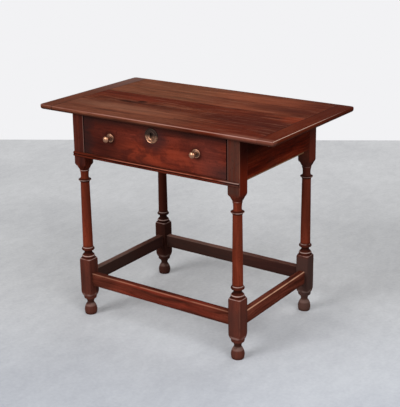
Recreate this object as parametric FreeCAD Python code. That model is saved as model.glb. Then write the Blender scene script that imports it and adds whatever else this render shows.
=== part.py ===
import FreeCAD
import Part
import math
import os

# Tavern table with one drawer. Millimetres, X to the right, the drawer faces -Y, Z up from the floor.
# The origin is on the floor below the middle of the top.

Vector = FreeCAD.Vector

# Overall sizes
TABLE_HEIGHT = 711.0
TOP_LENGTH = 874.0
TOP_DEPTH = 500.0
FRAME_LENGTH = 629.0
FRAME_DEPTH = 457.0

# Fits shared by all pieces
OVERRUN = 1.0
TENON_CLEARANCE = 0.15
MORTISE_SPARE_DEPTH = 0.5
MORTISE_WALL = 1.5
SLIDE_CLEARANCE = 0.3
BORE_CLEARANCE = 0.1

# Rounds are made of flats: chords along an outline, sides about an axis
ROUND_CHORDS = 3
HALF_ROUND_CHORDS = 6
LEG_SIDES = 12
PEG_SIDES = 8
BRASS_SIDES = 12
ESCUTCHEON_SIDES = 20

# Top: boards, end cleats and the moulded edge
TOP_THICK = 16.0
FRONT_BOARD_WIDTH = 62.0
REAR_BOARD_WIDTH = 219.0
CLEAT_WIDTH = 54.0
TONGUE_THICK = 5.0
TONGUE_LENGTH = 16.0
TONGUE_STOP = 30.0
TOP_CORNER_RADIUS = 12.0
TOP_EDGE_ROUND = 3.5
TOP_UNDERCUT = 8.0

# Legs, listed from the floor up; the plain column takes what height is left
LEG_SIZE = 43.0
FOOT_HEIGHT = 66.0
FOOT_SHOULDER = 29.0
BLOCK_BELOW_STRETCHER = 15.0
STRETCHER_HEIGHT = 43.0
BLOCK_ABOVE_STRETCHER = 34.0
BLOCK_TOP_SHOULDER = 14.0
BASE_TURNING_HEIGHT = 39.0
CAP_TURNING_HEIGHT = 41.5
CUP_HEIGHT = 26.5
BLOCK_BELOW_RAIL = 22.0
DRAWER_RAIL_HEIGHT = 15.0
APRON_HEIGHT = 127.0

# Turned outline: radius as a share of half the leg's stock, height as a share of each zone
FOOT_BASE_SHARES = (0.84, 0.0)
FOOT_BULB_LOW_SHARES = (0.95, 0.075)
FOOT_BULB_SHARES = (0.995, 0.24)
FOOT_BULB_HIGH_SHARES = (0.90, 0.42)
FOOT_NECK_LOW_SHARES = (0.62, 0.56)
FOOT_NECK_SHARES = (0.545, 0.66)
FOOT_NECK_HIGH_SHARES = (0.68, 0.79)
FOOT_RING_LOW_SHARES = (0.95, 0.86)
FOOT_RING_SHARES = (0.995, 0.93)
FOOT_RING_HIGH_SHARES = (0.95, 1.0)
TURNED_LIMIT_SHARE = 0.985
SHOULDER_SHARES = (0.66, 0.30)
GROOVE_SHARE = 0.92
BALL_LOW_SHARES = (0.92, 0.03)
BALL_SHARES = (0.995, 0.16)
BALL_HIGH_SHARES = (0.76, 0.35)
BASE_NECK_SHARES = ((0.61, 0.44), (0.61, 0.56), (0.70, 0.64), (0.93, 0.71))
BASE_RING_SHARES = (0.985, 0.79)
BASE_RING_HIGH_SHARES = (0.93, 0.87)
BASE_FILLET_SHARES = ((0.82, 0.90), (0.82, 0.97), (0.78, 1.0))
CAP_RING_SHARES = ((0.69, 0.0), (0.76, 0.04), (0.76, 0.09), (0.975, 0.17), (0.975, 0.21), (0.69, 0.30))
CAP_NECK_SHARES = (0.605, 0.47)
CAP_NECK_HIGH_SHARES = (0.66, 0.86)
CAP_FILLET_SHARES = ((0.72, 0.90), (0.72, 0.97), (0.69, 1.0))
CUP_SHARES = (0.92, 0.30)
CUP_RIM_SHARES = (1.06, 0.55)
CUP_SHOULDER_SHARES = (0.60, 0.72)

# Rails and stretchers
RAIL_THICK = 20.0
RAIL_RECESS = 1.0
RAIL_TENON_THICK = 8.0
RAIL_TENON_INSET_SHARES = (0.07, 0.84)
DRAWER_RAIL_TENON_LENGTH = 20.0
DRAWER_RAIL_TENON_HEIGHT_SHARES = (0.25, 0.75)
DRAWER_RAIL_TENON_DEPTH_SHARES = (0.25, 0.75)
STRETCHER_THICK = 22.0
FRONT_STRETCHER_DROP = 3.0
RIGHT_STRETCHER_DROP = 7.0
STRETCHER_TENON_THICK = 8.0
STRETCHER_TENON_HEIGHT_SHARES = (0.14, 0.86)

# Pegs, eight-sided as they are shaved from riven sticks
PEG_WIDTH = 7.0
CLEAT_PEG_WIDTH = 5.5
PEG_PROUD = 0.5
PEG_PAST_TENON = 5.0
TOP_PEG_DEPTH = 28.0
RAIL_PEG_HEIGHT_SHARES = (0.25, 0.68)
PEG_TENON_SHARE = 0.45
REAR_TOP_PEG_SHARE = 0.5

# Double arch moulding under the drawer
MOULDING_PROUD = 6.0
MOULDING_END_INSET = 1.5
MOULDING_NAIL_PROUD = 2.5
MOULDING_NAIL_SHARES = (-0.94, -0.46, 0.0, 0.46, 0.94)
ARCH_COUNT = 2

# Drawer runners, guides and stops
RUNNER_REACH = 18.0
RUNNER_TENON_LENGTH = 9.0
RUNNER_TENON_WIDTH_SHARES = (0.25, 0.75)
RUNNER_TENON_HEIGHT_SHARES = (0.25, 0.75)
GUIDE_HEIGHT = 22.0
GUIDE_NAIL_SHARES = (-0.8, 0.0, 0.8)
STOP_WIDTH = 40.0
STOP_HEIGHT = 40.0
STOP_THICK = 14.0
STOP_PLACE_SHARE = 0.6

# Drawer
DRAWER_GAP = 2.0
DRAWER_TOP_GAP = 1.5
DRAWER_RECESS = 0.8
DRAWER_FRONT_THICK = 20.0
DRAWER_SIDE_THICK = 12.0
DRAWER_SIDE_DROP = 8.0
DRAWER_BACK_THICK = 11.0
BOTTOM_THICK = 8.0
BOTTOM_REBATE = 6.0
BOTTOM_BOARDS = ("left", "middle", "right")
DOVETAIL_LAP = 6.0
DOVETAIL_COUNT = 3
DOVETAIL_NECK_SHARE = 0.42
DOVETAIL_END_SHARE = 0.64

# Nails with square shanks and low pyramid heads
NAIL_SHANK = 2.4
NAIL_HEAD = 6.0
NAIL_HEAD_HEIGHT = 1.2
NAIL_BITE_SHARE = 0.6
BRAD_SHANK = 1.6
BRAD_LENGTH = 18.0
SIDE_NAIL_SHARES = (0.25, 0.75)
BOTTOM_NAIL_SHARES = (0.25, 0.5, 0.75)
BOARD_NAIL_SHARES = (0.25, 0.75)

# Brass knobs, each on a round rose
KNOB_END_DISTANCE = 107.0
KNOB_DROP = 61.5
KNOB_DIAMETER = 21.0
KNOB_PROJECTION = 27.0
KNOB_STEM_DIAMETER = 9.0
KNOB_ROD_DIAMETER = 6.0
KNOB_ROD_SPARE = 2.0
KNOB_COVE_SHARES = (0.40, 0.22)
KNOB_NECK_SHARES = (0.55, 0.45)
KNOB_LOW_SHARES = (0.90, 0.54)
KNOB_BALL_SHARES = (1.0, 0.70)
KNOB_HIGH_SHARES = (0.74, 0.91)
KNOB_TIP_SHARES = (0.12, 1.0)
ROSE_DIAMETER = 28.0
ROSE_THICK = 3.5
ROSE_RIM_SHARES = (0.93, 0.45)
ROSE_DISH_SHARES = (0.80, 0.40)
ROSE_COLLAR_SHARES = (0.50, 1.0)
NUT_SIZE = 13.0
NUT_THICK = 5.0

# Brass escutcheon and its keyhole
ESCUTCHEON_DIAMETER = 49.0
ESCUTCHEON_THICK = 3.0
ESCUTCHEON_DROP = 31.0
RIM_CROWN_SHARES = (0.92, 1.0)
RIM_FOOT_SHARES = (0.82, 0.5)
RING_OUT_SHARES = (0.60, 0.5)
RING_CROWN_SHARES = (0.52, 0.95)
RING_IN_SHARES = (0.44, 0.6)
PIN_HEAD = 3.2
PIN_SHANK = 1.4
PIN_LENGTH = 8.0
KEYHOLE_DIAMETER = 7.0
KEYHOLE_SLOT = 4.6
KEYHOLE_DROP = 14.0
KEYHOLE_RISE = 6.0

# Iron drawer lock let into the back of the drawer front
LOCK_WIDTH = 64.0
LOCK_HEIGHT = 46.0
LOCK_PLATE_THICK = 1.6
LOCK_CASE_DEPTH = 9.0
LOCK_CASE_MARGIN = 6.0
LOCK_CASE_WALL = 1.2
BOLT_WIDTH = 18.0
BOLT_THICK = 5.0
BOLT_LENGTH = 17.0
BOLT_TRAVEL = 8.0
BOLT_MORTISE_CLEARANCE = 1.0
KEY_PIN_DIAMETER = 2.6
LOCK_NAIL_SHARES = (0.86, 0.80)
LOCK_NAIL_HEAD = 4.0
LOCK_NAIL_LENGTH = 9.0

# Levels
under_top = TABLE_HEIGHT - TOP_THICK
drawer_floor = under_top - APRON_HEIGHT
drawer_rail_low = drawer_floor - DRAWER_RAIL_HEIGHT
block_low = drawer_rail_low - BLOCK_BELOW_RAIL
cup_low = block_low - CUP_HEIGHT
cap_low = cup_low - CAP_TURNING_HEIGHT
foot_block_low = FOOT_HEIGHT + FOOT_SHOULDER
stretcher_low = foot_block_low + BLOCK_BELOW_STRETCHER
stretcher_high = stretcher_low + STRETCHER_HEIGHT
foot_block_high = stretcher_high + BLOCK_ABOVE_STRETCHER
base_low = foot_block_high + BLOCK_TOP_SHOULDER

# Plan places
frame_x = FRAME_LENGTH / 2
frame_y = FRAME_DEPTH / 2
leg_half = LEG_SIZE / 2
leg_x = frame_x - leg_half
leg_y = frame_y - leg_half
inner_x = frame_x - LEG_SIZE
inner_y = frame_y - LEG_SIZE
rail_out_x = frame_x - RAIL_RECESS
rail_in_x = rail_out_x - RAIL_THICK
rail_out_y = frame_y - RAIL_RECESS
rail_in_y = rail_out_y - RAIL_THICK
rail_tenon_length = LEG_SIZE - RAIL_RECESS - (RAIL_THICK + RAIL_TENON_THICK) / 2 - MORTISE_WALL
stretcher_tenon_length = leg_half - STRETCHER_TENON_THICK / 2 - MORTISE_WALL
top_x = TOP_LENGTH / 2
top_y = TOP_DEPTH / 2
cleat_in_x = top_x - CLEAT_WIDTH
front_joint_y = FRONT_BOARD_WIDTH - top_y
rear_joint_y = top_y - REAR_BOARD_WIDTH

# Drawer places
drawer_x = inner_x - DRAWER_GAP
drawer_low = drawer_floor + SLIDE_CLEARANCE
drawer_high = under_top - DRAWER_TOP_GAP
drawer_face_y = DRAWER_RECESS - frame_y
drawer_in_y = drawer_face_y + DRAWER_FRONT_THICK
drawer_end_y = rail_in_y - STOP_THICK - SLIDE_CLEARANCE
side_in_x = drawer_x - DRAWER_SIDE_THICK
side_high = drawer_high - DRAWER_SIDE_DROP
bottom_high = drawer_low + BOTTOM_THICK
knob_x = drawer_x - KNOB_END_DISTANCE
knob_z = drawer_high - KNOB_DROP
escutcheon_z = drawer_high - ESCUTCHEON_DROP
key_z = escutcheon_z + KEYHOLE_RISE
lock_low = drawer_high - LOCK_HEIGHT
plate_y = drawer_in_y - LOCK_PLATE_THICK
case_y = plate_y - LOCK_CASE_DEPTH
bolt_y = (plate_y + case_y + LOCK_CASE_WALL) / 2
bolt_high = drawer_high - SLIDE_CLEARANCE


def block(x0, x1, y0, y1, z0, z1):
    """Square-edged stick between two corners."""
    return Part.makeBox(x1 - x0, y1 - y0, z1 - z0, Vector(x0, y0, z0))


def between(low, high, share):
    return low + (high - low) * share


def mirrored_x(shape):
    return shape.mirror(Vector(), Vector(1, 0, 0))


def placed(shape, point, direction):
    """Piece made along +Z from the origin, moved to a point and turned to a direction."""
    shape.Placement = FreeCAD.Placement(point, FreeCAD.Rotation(Vector(0, 0, 1), direction))
    return shape


def cut_all(shape, tools):
    """Piece with the tools that reach its box taken away, as one solid."""
    box = shape.BoundBox
    near = [tool for tool in tools if box.intersect(tool.BoundBox)]
    result = shape.cut(near) if near else shape
    return result.Solids[0] if len(result.Solids) == 1 else result


def outline_points(start, steps, chords=ROUND_CHORDS):
    """Points of an outline: each step is an end point, or a middle and an end for a round stretch."""
    points = [start]
    for step in steps:
        if len(step) == 1:
            points.append(step[0])
        else:
            points += Part.Arc(points[-1], *step).toShape().discretize(chords + 1)[1:]
    return points


def flat_face(points):
    return Part.Face(Part.makePolygon(points + points[:1]))


def skinned(rings, hollow=False):
    """Solid between rings of as many points each, closed by its end rings, or round a bore."""
    faces = [] if hollow else [flat_face(rings[0]), flat_face(rings[-1])]
    next_rings = rings[1:] + rings[:1] if hollow else rings[1:]
    for low, high in zip(rings, next_rings):
        for i in range(len(low)):
            faces.append(flat_face([low[i - 1], low[i], high[i], high[i - 1]]))
    solid = Part.Solid(Part.Shell(faces))
    if solid.Volume < 0:
        solid.reverse()
    return solid


def ring(radius, height, sides):
    """Points of a round about Z, with a flat towards each axis."""
    angles = [math.pi * (2 * i + 1) / sides for i in range(sides)]
    return [Vector(radius * math.cos(angle), radius * math.sin(angle), height) for angle in angles]


def turned(start, steps, sides, hollow=False):
    """Half outline turned about Z, its rounds made of narrow flats."""
    return skinned([ring(point.x, point.z, sides) for point in outline_points(start, steps)], hollow)


def bar(width, length, sides, point, direction):
    """Straight bar of many sides from a point; its width is measured across the flats."""
    radius = width / 2 / math.cos(math.pi / sides)
    return placed(skinned([ring(radius, 0, sides), ring(radius, length, sides)]), point, direction)


def zone_point(shares, low, height):
    """Point of the leg's outline from its shares of half the stock and of the zone's height."""
    return Vector(leg_half * shares[0], 0, low + height * shares[1])


def leg_blank():
    """One stick of square stock with its foot, base, column and cup turned, centred on Z."""
    corner = LEG_SIZE / math.sqrt(2) + OVERRUN
    turned_limit = leg_half * TURNED_LIMIT_SHARE

    def foot(shares):
        return zone_point(shares, 0, FOOT_HEIGHT)

    def base(shares):
        return zone_point(shares, base_low, BASE_TURNING_HEIGHT)

    def cap(shares):
        return zone_point(shares, cap_low, CAP_TURNING_HEIGHT)

    def cup(shares):
        return zone_point(shares, cup_low, CUP_HEIGHT)

    def shoulder(end_level, block_level):
        reach = between(turned_limit, corner, SHOULDER_SHARES[0])
        return Vector(reach, 0, between(end_level, block_level, SHOULDER_SHARES[1]))

    cup_rim = cup(CUP_RIM_SHARES)
    cup_reach = between(cup_rim.x, corner, CUP_SHOULDER_SHARES[0])
    cup_shoulder = Vector(cup_reach, 0, cup_low + CUP_HEIGHT * CUP_SHOULDER_SHARES[1])
    steps = [
        [foot(FOOT_BULB_LOW_SHARES), foot(FOOT_BULB_SHARES)],
        [foot(FOOT_BULB_HIGH_SHARES), foot(FOOT_NECK_LOW_SHARES)],
        [foot(FOOT_NECK_SHARES), foot(FOOT_NECK_HIGH_SHARES)],
        [foot(FOOT_RING_LOW_SHARES)],
        [foot(FOOT_RING_SHARES), foot(FOOT_RING_HIGH_SHARES)],
        [Vector(turned_limit, 0, FOOT_HEIGHT)],
        [shoulder(FOOT_HEIGHT, foot_block_low), Vector(corner, 0, foot_block_low)],
        [Vector(corner, 0, foot_block_high)],
        [shoulder(base_low, foot_block_high), Vector(turned_limit, 0, base_low)],
        [Vector(leg_half * GROOVE_SHARE, 0, base_low)],
        [base(BALL_LOW_SHARES)],
        [base(BALL_SHARES), base(BALL_HIGH_SHARES)],
    ]
    steps += [[base(shares)] for shares in BASE_NECK_SHARES]
    steps += [[base(BASE_RING_SHARES), base(BASE_RING_HIGH_SHARES)]]
    steps += [[base(shares)] for shares in BASE_FILLET_SHARES]
    steps += [[cap(shares)] for shares in CAP_RING_SHARES]
    steps += [[cap(CAP_NECK_SHARES), cap(CAP_NECK_HIGH_SHARES)]]
    steps += [[cap(shares)] for shares in CAP_FILLET_SHARES]
    steps += [
        [cup(CUP_SHARES), cup_rim],
        [cup_shoulder, Vector(corner, 0, block_low)],
        [Vector(corner, 0, under_top)],
    ]
    stock = block(-leg_half, leg_half, -leg_half, leg_half, 0, under_top)
    return stock.common(turned(foot(FOOT_BASE_SHARES), steps, LEG_SIDES)).Solids[0]


def peg(point, direction, length, width=PEG_WIDTH):
    """Eight-sided peg whose head is at a point."""
    return bar(width, length, PEG_SIDES, point, direction)


def nail(point, direction, length, head, shank):
    """Square nail driven along a direction, its low pyramid head resting on the surface at a point."""
    shaft = block(-shank / 2, shank / 2, -shank / 2, shank / 2, 0, length)
    cap = Part.makeWedge(
        -head / 2, 0, -head / 2, -shank / 2, -shank / 2,
        head / 2, NAIL_HEAD_HEIGHT, head / 2, shank / 2, shank / 2,
    )
    cap.rotate(Vector(), Vector(1, 0, 0), -90)
    return placed(shaft.fuse(cap).removeSplitter().Solids[0], point, direction)


def brad(point, direction):
    """Headless square nail with its end at a point."""
    half = BRAD_SHANK / 2
    return placed(block(-half, half, -half, half, 0, BRAD_LENGTH), point, direction)


def stick_with_tenons(body, tenons):
    """Rail or stretcher with its tenons, all given as box limits."""
    shape = block(*body)
    for tenon in tenons:
        shape = shape.fuse(block(*tenon))
    return shape.removeSplitter().Solids[0]


def mortise(tenon, along):
    """Hole that takes a tenon, with clearance at its cheeks and spare depth along its axis."""
    x0, x1, y0, y1, z0, z1 = tenon
    cheek = TENON_CLEARANCE
    dx, dy = (MORTISE_SPARE_DEPTH, cheek) if along == "x" else (cheek, MORTISE_SPARE_DEPTH)
    return block(x0 - dx, x1 + dx, y0 - dy, y1 + dy, z0 - cheek, z1 + cheek)


def both_ends_x(x0, x1, *rest):
    """Limits of a tenon at the right end and of its twin at the left end."""
    return [(x0, x1, *rest), (-x1, -x0, *rest)]


def both_ends_y(x0, x1, y0, y1, *rest):
    """Limits of a tenon at the rear end and of its twin at the front end."""
    return [(x0, x1, y0, y1, *rest), (x0, x1, -y1, -y0, *rest)]


# Rails: limits of the sticks and their tenons
rail_mid_x = (rail_in_x + rail_out_x) / 2
rail_mid_y = (rail_in_y + rail_out_y) / 2
rail_tenon_z = [between(drawer_floor, under_top, share) for share in RAIL_TENON_INSET_SHARES]
side_rail_body = (rail_in_x, rail_out_x, -inner_y, inner_y, drawer_floor, under_top)
side_rail_tenons = both_ends_y(
    rail_mid_x - RAIL_TENON_THICK / 2, rail_mid_x + RAIL_TENON_THICK / 2,
    inner_y, inner_y + rail_tenon_length, *rail_tenon_z,
)
rear_rail_body = (-inner_x, inner_x, rail_in_y, rail_out_y, drawer_rail_low, under_top)
rear_rail_tenons = both_ends_x(
    inner_x, inner_x + rail_tenon_length,
    rail_mid_y - RAIL_TENON_THICK / 2, rail_mid_y + RAIL_TENON_THICK / 2, *rail_tenon_z,
)
drawer_rail_body = (-inner_x, inner_x, -frame_y, -inner_y, drawer_rail_low, drawer_floor)
drawer_rail_tenons = both_ends_x(
    inner_x, inner_x + DRAWER_RAIL_TENON_LENGTH,
    *[between(-frame_y, -inner_y, share) for share in DRAWER_RAIL_TENON_DEPTH_SHARES],
    *[between(drawer_rail_low, drawer_floor, share) for share in DRAWER_RAIL_TENON_HEIGHT_SHARES],
)

# Stretchers: centred on the legs, the front and the right one a little lower than the others
stretcher_half = STRETCHER_THICK / 2
stretcher_tenon_half = STRETCHER_TENON_THICK / 2
long_stretcher_drops = {1: 0, -1: FRONT_STRETCHER_DROP}
side_stretcher_drops = {1: RIGHT_STRETCHER_DROP, -1: 0}


def stretcher_levels(drop):
    """Lower and upper level of a stretcher, and those of its tenons."""
    levels = (stretcher_low - drop, stretcher_high - drop)
    return levels, [between(*levels, share) for share in STRETCHER_TENON_HEIGHT_SHARES]


def long_stretcher(sy):
    """Limits of the rear or front stretcher and of its tenons."""
    levels, tenon_levels = stretcher_levels(long_stretcher_drops[sy])
    y = sy * leg_y
    body = (-inner_x, inner_x, y - stretcher_half, y + stretcher_half, *levels)
    tenons = both_ends_x(
        inner_x, inner_x + stretcher_tenon_length,
        y - stretcher_tenon_half, y + stretcher_tenon_half, *tenon_levels,
    )
    return body, tenons


def side_stretcher(sx):
    """Limits of the right or left stretcher and of its tenons."""
    levels, tenon_levels = stretcher_levels(side_stretcher_drops[sx])
    x = sx * leg_x
    body = (x - stretcher_half, x + stretcher_half, -inner_y, inner_y, *levels)
    tenons = both_ends_y(
        x - stretcher_tenon_half, x + stretcher_tenon_half,
        inner_y, inner_y + stretcher_tenon_length, *tenon_levels,
    )
    return body, tenons


long_stretchers = {"rear_stretcher": long_stretcher(1), "front_stretcher": long_stretcher(-1)}
side_stretchers = {"right_stretcher": side_stretcher(1), "left_stretcher": side_stretcher(-1)}

# Runners: beside the guides, notched round the rear legs
runner_in_x = inner_x - RUNNER_REACH
runner_tenon_x = [between(runner_in_x, inner_x, share) for share in RUNNER_TENON_WIDTH_SHARES]
runner_tenon_z = [between(drawer_rail_low, drawer_floor, share) for share in RUNNER_TENON_HEIGHT_SHARES]
runner_body = (runner_in_x, rail_in_x, -inner_y, inner_y, drawer_rail_low, drawer_floor)
runner_tail = (runner_in_x, inner_x, inner_y, rail_in_y, drawer_rail_low, drawer_floor)
runner_front_tenon = (*runner_tenon_x, -inner_y - RUNNER_TENON_LENGTH, -inner_y, *runner_tenon_z)
runner_rear_tenon = (*runner_tenon_x, rail_in_y, rail_in_y + RUNNER_TENON_LENGTH, *runner_tenon_z)

# Tongues on the board ends
tongue_z = (under_top + (TOP_THICK - TONGUE_THICK) / 2, under_top + (TOP_THICK + TONGUE_THICK) / 2)
tongue_y = top_y - TONGUE_STOP
board_limits = {
    "top_front_board": (-top_y, front_joint_y),
    "top_middle_board": (front_joint_y, rear_joint_y),
    "top_rear_board": (rear_joint_y, top_y),
}

sides = (1, -1)


def rail_pegs():
    """Pegs through the rails' tenons, driven from the outer faces of the legs."""
    length = PEG_PROUD + RAIL_RECESS + (RAIL_THICK + RAIL_TENON_THICK) / 2 + PEG_PAST_TENON
    reach = rail_tenon_length * PEG_TENON_SHARE
    pegs = []
    for share in RAIL_PEG_HEIGHT_SHARES:
        z = between(drawer_floor, under_top, share)
        for sx in sides:
            point = Vector(sx * (inner_x + reach), frame_y + PEG_PROUD, z)
            pegs.append(peg(point, Vector(0, -1, 0), length))
            for sy in sides:
                point = Vector(sx * (frame_x + PEG_PROUD), sy * (inner_y + reach), z)
                pegs.append(peg(point, Vector(-sx, 0, 0), length))
    return pegs


def stretcher_pegs():
    """One peg through each stretcher tenon, driven from the outer faces of the legs."""
    length = PEG_PROUD + leg_half + stretcher_tenon_half + PEG_PAST_TENON
    reach = stretcher_tenon_length * PEG_TENON_SHARE
    middle = (stretcher_low + stretcher_high) / 2
    pegs = []
    for sx in sides:
        for sy in sides:
            z = middle - long_stretcher_drops[sy]
            point = Vector(sx * (inner_x + reach), sy * (frame_y + PEG_PROUD), z)
            pegs.append(peg(point, Vector(0, -sy, 0), length))
            z = middle - side_stretcher_drops[sx]
            point = Vector(sx * (frame_x + PEG_PROUD), sy * (inner_y + reach), z)
            pegs.append(peg(point, Vector(-sx, 0, 0), length))
    return pegs


def top_pegs():
    """Pegs that hold the top down on the legs and the rails, flush with the top."""
    places = [(sx * leg_x, sy * leg_y) for sx in sides for sy in sides]
    places += [(sx * rail_mid_x, 0) for sx in sides]
    places += [(sx * inner_x * REAR_TOP_PEG_SHARE, rail_mid_y) for sx in sides]
    length = TOP_THICK + TOP_PEG_DEPTH
    return [peg(Vector(x, y, TABLE_HEIGHT), Vector(0, 0, -1), length) for x, y in places]


def tongue_limits(y0, y1):
    """Front and rear ends of a board's tongue, which stops short of the top's edges."""
    return max(y0, -tongue_y), min(y1, tongue_y)


def cleat_pegs():
    """Pegs through the cleats and the tongues, one for each board."""
    x = cleat_in_x + TONGUE_LENGTH * PEG_TENON_SHARE
    pegs = []
    for limits in board_limits.values():
        y = sum(tongue_limits(*limits)) / 2
        for sx in sides:
            point = Vector(sx * x, y, TABLE_HEIGHT)
            pegs.append(peg(point, Vector(0, 0, -1), TOP_THICK, CLEAT_PEG_WIDTH))
    return pegs


def slab_ring(inset, height):
    """Edge of the top at a height, set in from its outermost line, with worn corners."""
    radius = TOP_CORNER_RADIUS - inset
    points = []
    for quarter, (sx, sy) in enumerate(((1, 1), (-1, 1), (-1, -1), (1, -1))):
        for i in range(ROUND_CHORDS + 1):
            angle = math.pi / 2 * (quarter + i / ROUND_CHORDS)
            x = sx * (top_x - TOP_CORNER_RADIUS) + radius * math.cos(angle)
            y = sy * (top_y - TOP_CORNER_RADIUS) + radius * math.sin(angle)
            points.append(Vector(x, y, height))
    return points


def top_blank():
    """The whole top with worn corners, a rounded upper edge and an undercut lower edge."""
    bend = 1 - math.sqrt(1 / 2)
    low_mid = Vector(TOP_UNDERCUT * bend, 0, under_top + TOP_UNDERCUT * bend)
    high_mid = Vector(TOP_EDGE_ROUND * bend, 0, TABLE_HEIGHT - TOP_EDGE_ROUND * bend)
    steps = [
        [low_mid, Vector(0, 0, under_top + TOP_UNDERCUT)],
        [Vector(0, 0, TABLE_HEIGHT - TOP_EDGE_ROUND)],
        [high_mid, Vector(TOP_EDGE_ROUND, 0, TABLE_HEIGHT)],
    ]
    edge = outline_points(Vector(TOP_UNDERCUT, 0, under_top), steps)
    return skinned([slab_ring(point.x, point.z) for point in edge])


def top_board(blank, y0, y1):
    """Long board of the top with a tongue at each end."""
    board = blank.common(block(-cleat_in_x, cleat_in_x, y0, y1, under_top, TABLE_HEIGHT))
    for tongue in both_ends_x(cleat_in_x, cleat_in_x + TONGUE_LENGTH, *tongue_limits(y0, y1), *tongue_z):
        board = board.fuse(block(*tongue))
    return board.removeSplitter().Solids[0]


def right_cleat(blank):
    """End cleat with the stopped groove that takes the boards' tongues."""
    cleat = blank.common(block(cleat_in_x, top_x, -top_y, top_y, under_top, TABLE_HEIGHT))
    groove = (cleat_in_x, cleat_in_x + TONGUE_LENGTH, -tongue_y, tongue_y, *tongue_z)
    return cleat.cut(mortise(groove, "x"))


def bolt_mortise():
    """Hole in the underside of the top that the lock's bolt shoots into."""
    half_x = BOLT_WIDTH / 2 + BOLT_MORTISE_CLEARANCE
    half_y = BOLT_THICK / 2 + BOLT_MORTISE_CLEARANCE
    high = bolt_high + BOLT_TRAVEL + MORTISE_SPARE_DEPTH
    return block(-half_x, half_x, bolt_y - half_y, bolt_y + half_y, under_top - OVERRUN, high)


def front_moulding():
    """Double arch moulding on the drawer rail and across both front legs."""
    radius = DRAWER_RAIL_HEIGHT / 2 / ARCH_COUNT
    end = MOULDING_END_INSET - frame_x
    spring_y = -frame_y - MOULDING_PROUD + radius
    steps = [[Vector(end, spring_y, drawer_rail_low)]]
    for i in range(ARCH_COUNT):
        crown = drawer_rail_low + radius * (2 * i + 1)
        steps.append([Vector(end, spring_y - radius, crown), Vector(end, spring_y, crown + radius)])
    steps.append([Vector(end, -frame_y, drawer_floor)])
    outline = outline_points(Vector(end, -frame_y, drawer_rail_low), steps, HALF_ROUND_CHORDS)
    return flat_face(outline).extrude(Vector(-2 * end, 0, 0))


def moulding_nails():
    """Headless nails driven in the valley of the moulding."""
    y = DRAWER_RAIL_HEIGHT / 2 / ARCH_COUNT - frame_y - MOULDING_PROUD - MOULDING_NAIL_PROUD
    z = drawer_rail_low + DRAWER_RAIL_HEIGHT / ARCH_COUNT
    return [brad(Vector(frame_x * share, y, z), Vector(0, 1, 0)) for share in MOULDING_NAIL_SHARES]


def right_guide():
    """Strip between the legs that keeps the drawer straight."""
    return block(inner_x, rail_in_x, -inner_y, inner_y, drawer_floor, drawer_floor + GUIDE_HEIGHT)


def guide_nails():
    """Nails down through the guides into the runners."""
    x = (inner_x + rail_in_x) / 2
    z = drawer_floor + GUIDE_HEIGHT
    length = GUIDE_HEIGHT + DRAWER_RAIL_HEIGHT * NAIL_BITE_SHARE
    places = [(sx * x, inner_y * share) for sx in sides for share in GUIDE_NAIL_SHARES]
    return [nail(Vector(x, y, z), Vector(0, 0, -1), length, NAIL_HEAD, NAIL_SHANK) for x, y in places]


def drawer_stops():
    """Blocks on the rear rail that the closed drawer meets."""
    z = (bottom_high + side_high) / 2
    stops = []
    for sx in sides:
        x = sx * inner_x * STOP_PLACE_SHARE
        stops.append(block(
            x - STOP_WIDTH / 2, x + STOP_WIDTH / 2, rail_in_y - STOP_THICK, rail_in_y,
            z - STOP_HEIGHT / 2, z + STOP_HEIGHT / 2,
        ))
    return stops


def dovetail(z, pitch):
    """Tail on the front end of a drawer side, wider at its end than at its neck."""
    neck = pitch * DOVETAIL_NECK_SHARE / 2
    end = pitch * DOVETAIL_END_SHARE / 2
    end_y = drawer_face_y + DOVETAIL_LAP
    corners = [(drawer_in_y, z - neck), (end_y, z - end), (end_y, z + end), (drawer_in_y, z + neck)]
    tail = flat_face([Vector(side_in_x, y, level) for y, level in corners])
    return tail.extrude(Vector(DRAWER_SIDE_THICK, 0, 0))


def right_drawer_side():
    """Drawer side with dovetails at the front and a rebate for the bottom."""
    side = block(side_in_x, drawer_x, drawer_in_y, drawer_end_y, drawer_low, side_high)
    side = side.cut(block(
        side_in_x - OVERRUN, side_in_x + BOTTOM_REBATE, drawer_in_y - OVERRUN, drawer_end_y + OVERRUN,
        drawer_low - OVERRUN, bottom_high,
    ))
    pitch = (side_high - bottom_high) / DOVETAIL_COUNT
    for i in range(DOVETAIL_COUNT):
        side = side.fuse(dovetail(bottom_high + pitch * i + pitch / 2, pitch))
    return side.removeSplitter().Solids[0]


def bottom_limits():
    """Left and right edges of each bottom board."""
    edge = side_in_x + BOTTOM_REBATE
    width = 2 * edge / len(BOTTOM_BOARDS)
    return {name: (width * i - edge, width * (i + 1) - edge) for i, name in enumerate(BOTTOM_BOARDS)}


def bottom_board(x0, x1):
    return block(x0, x1, drawer_in_y - BOTTOM_REBATE, drawer_end_y, drawer_low, bottom_high)


def drawer_nails():
    """Headless nails through the sides into the back, and up through the bottom."""
    back_y = drawer_end_y - DRAWER_BACK_THICK / 2
    nails = []
    for sx in sides:
        for share in SIDE_NAIL_SHARES:
            point = Vector(sx * drawer_x, back_y, between(bottom_high, side_high, share))
            nails.append(brad(point, Vector(-sx, 0, 0)))
        for share in BOTTOM_NAIL_SHARES:
            x = sx * (side_in_x + BOTTOM_REBATE / 2)
            point = Vector(x, between(drawer_in_y, back_y, share), drawer_low)
            nails.append(brad(point, Vector(0, 0, 1)))
    for x0, x1 in bottom_limits().values():
        for share in BOARD_NAIL_SHARES:
            nails.append(brad(Vector(between(x0, x1, share), back_y, drawer_low), Vector(0, 0, 1)))
    return nails


def drawer_back():
    back_y = drawer_end_y - DRAWER_BACK_THICK
    return block(-side_in_x, side_in_x, back_y, drawer_end_y, bottom_high, side_high)


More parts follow.
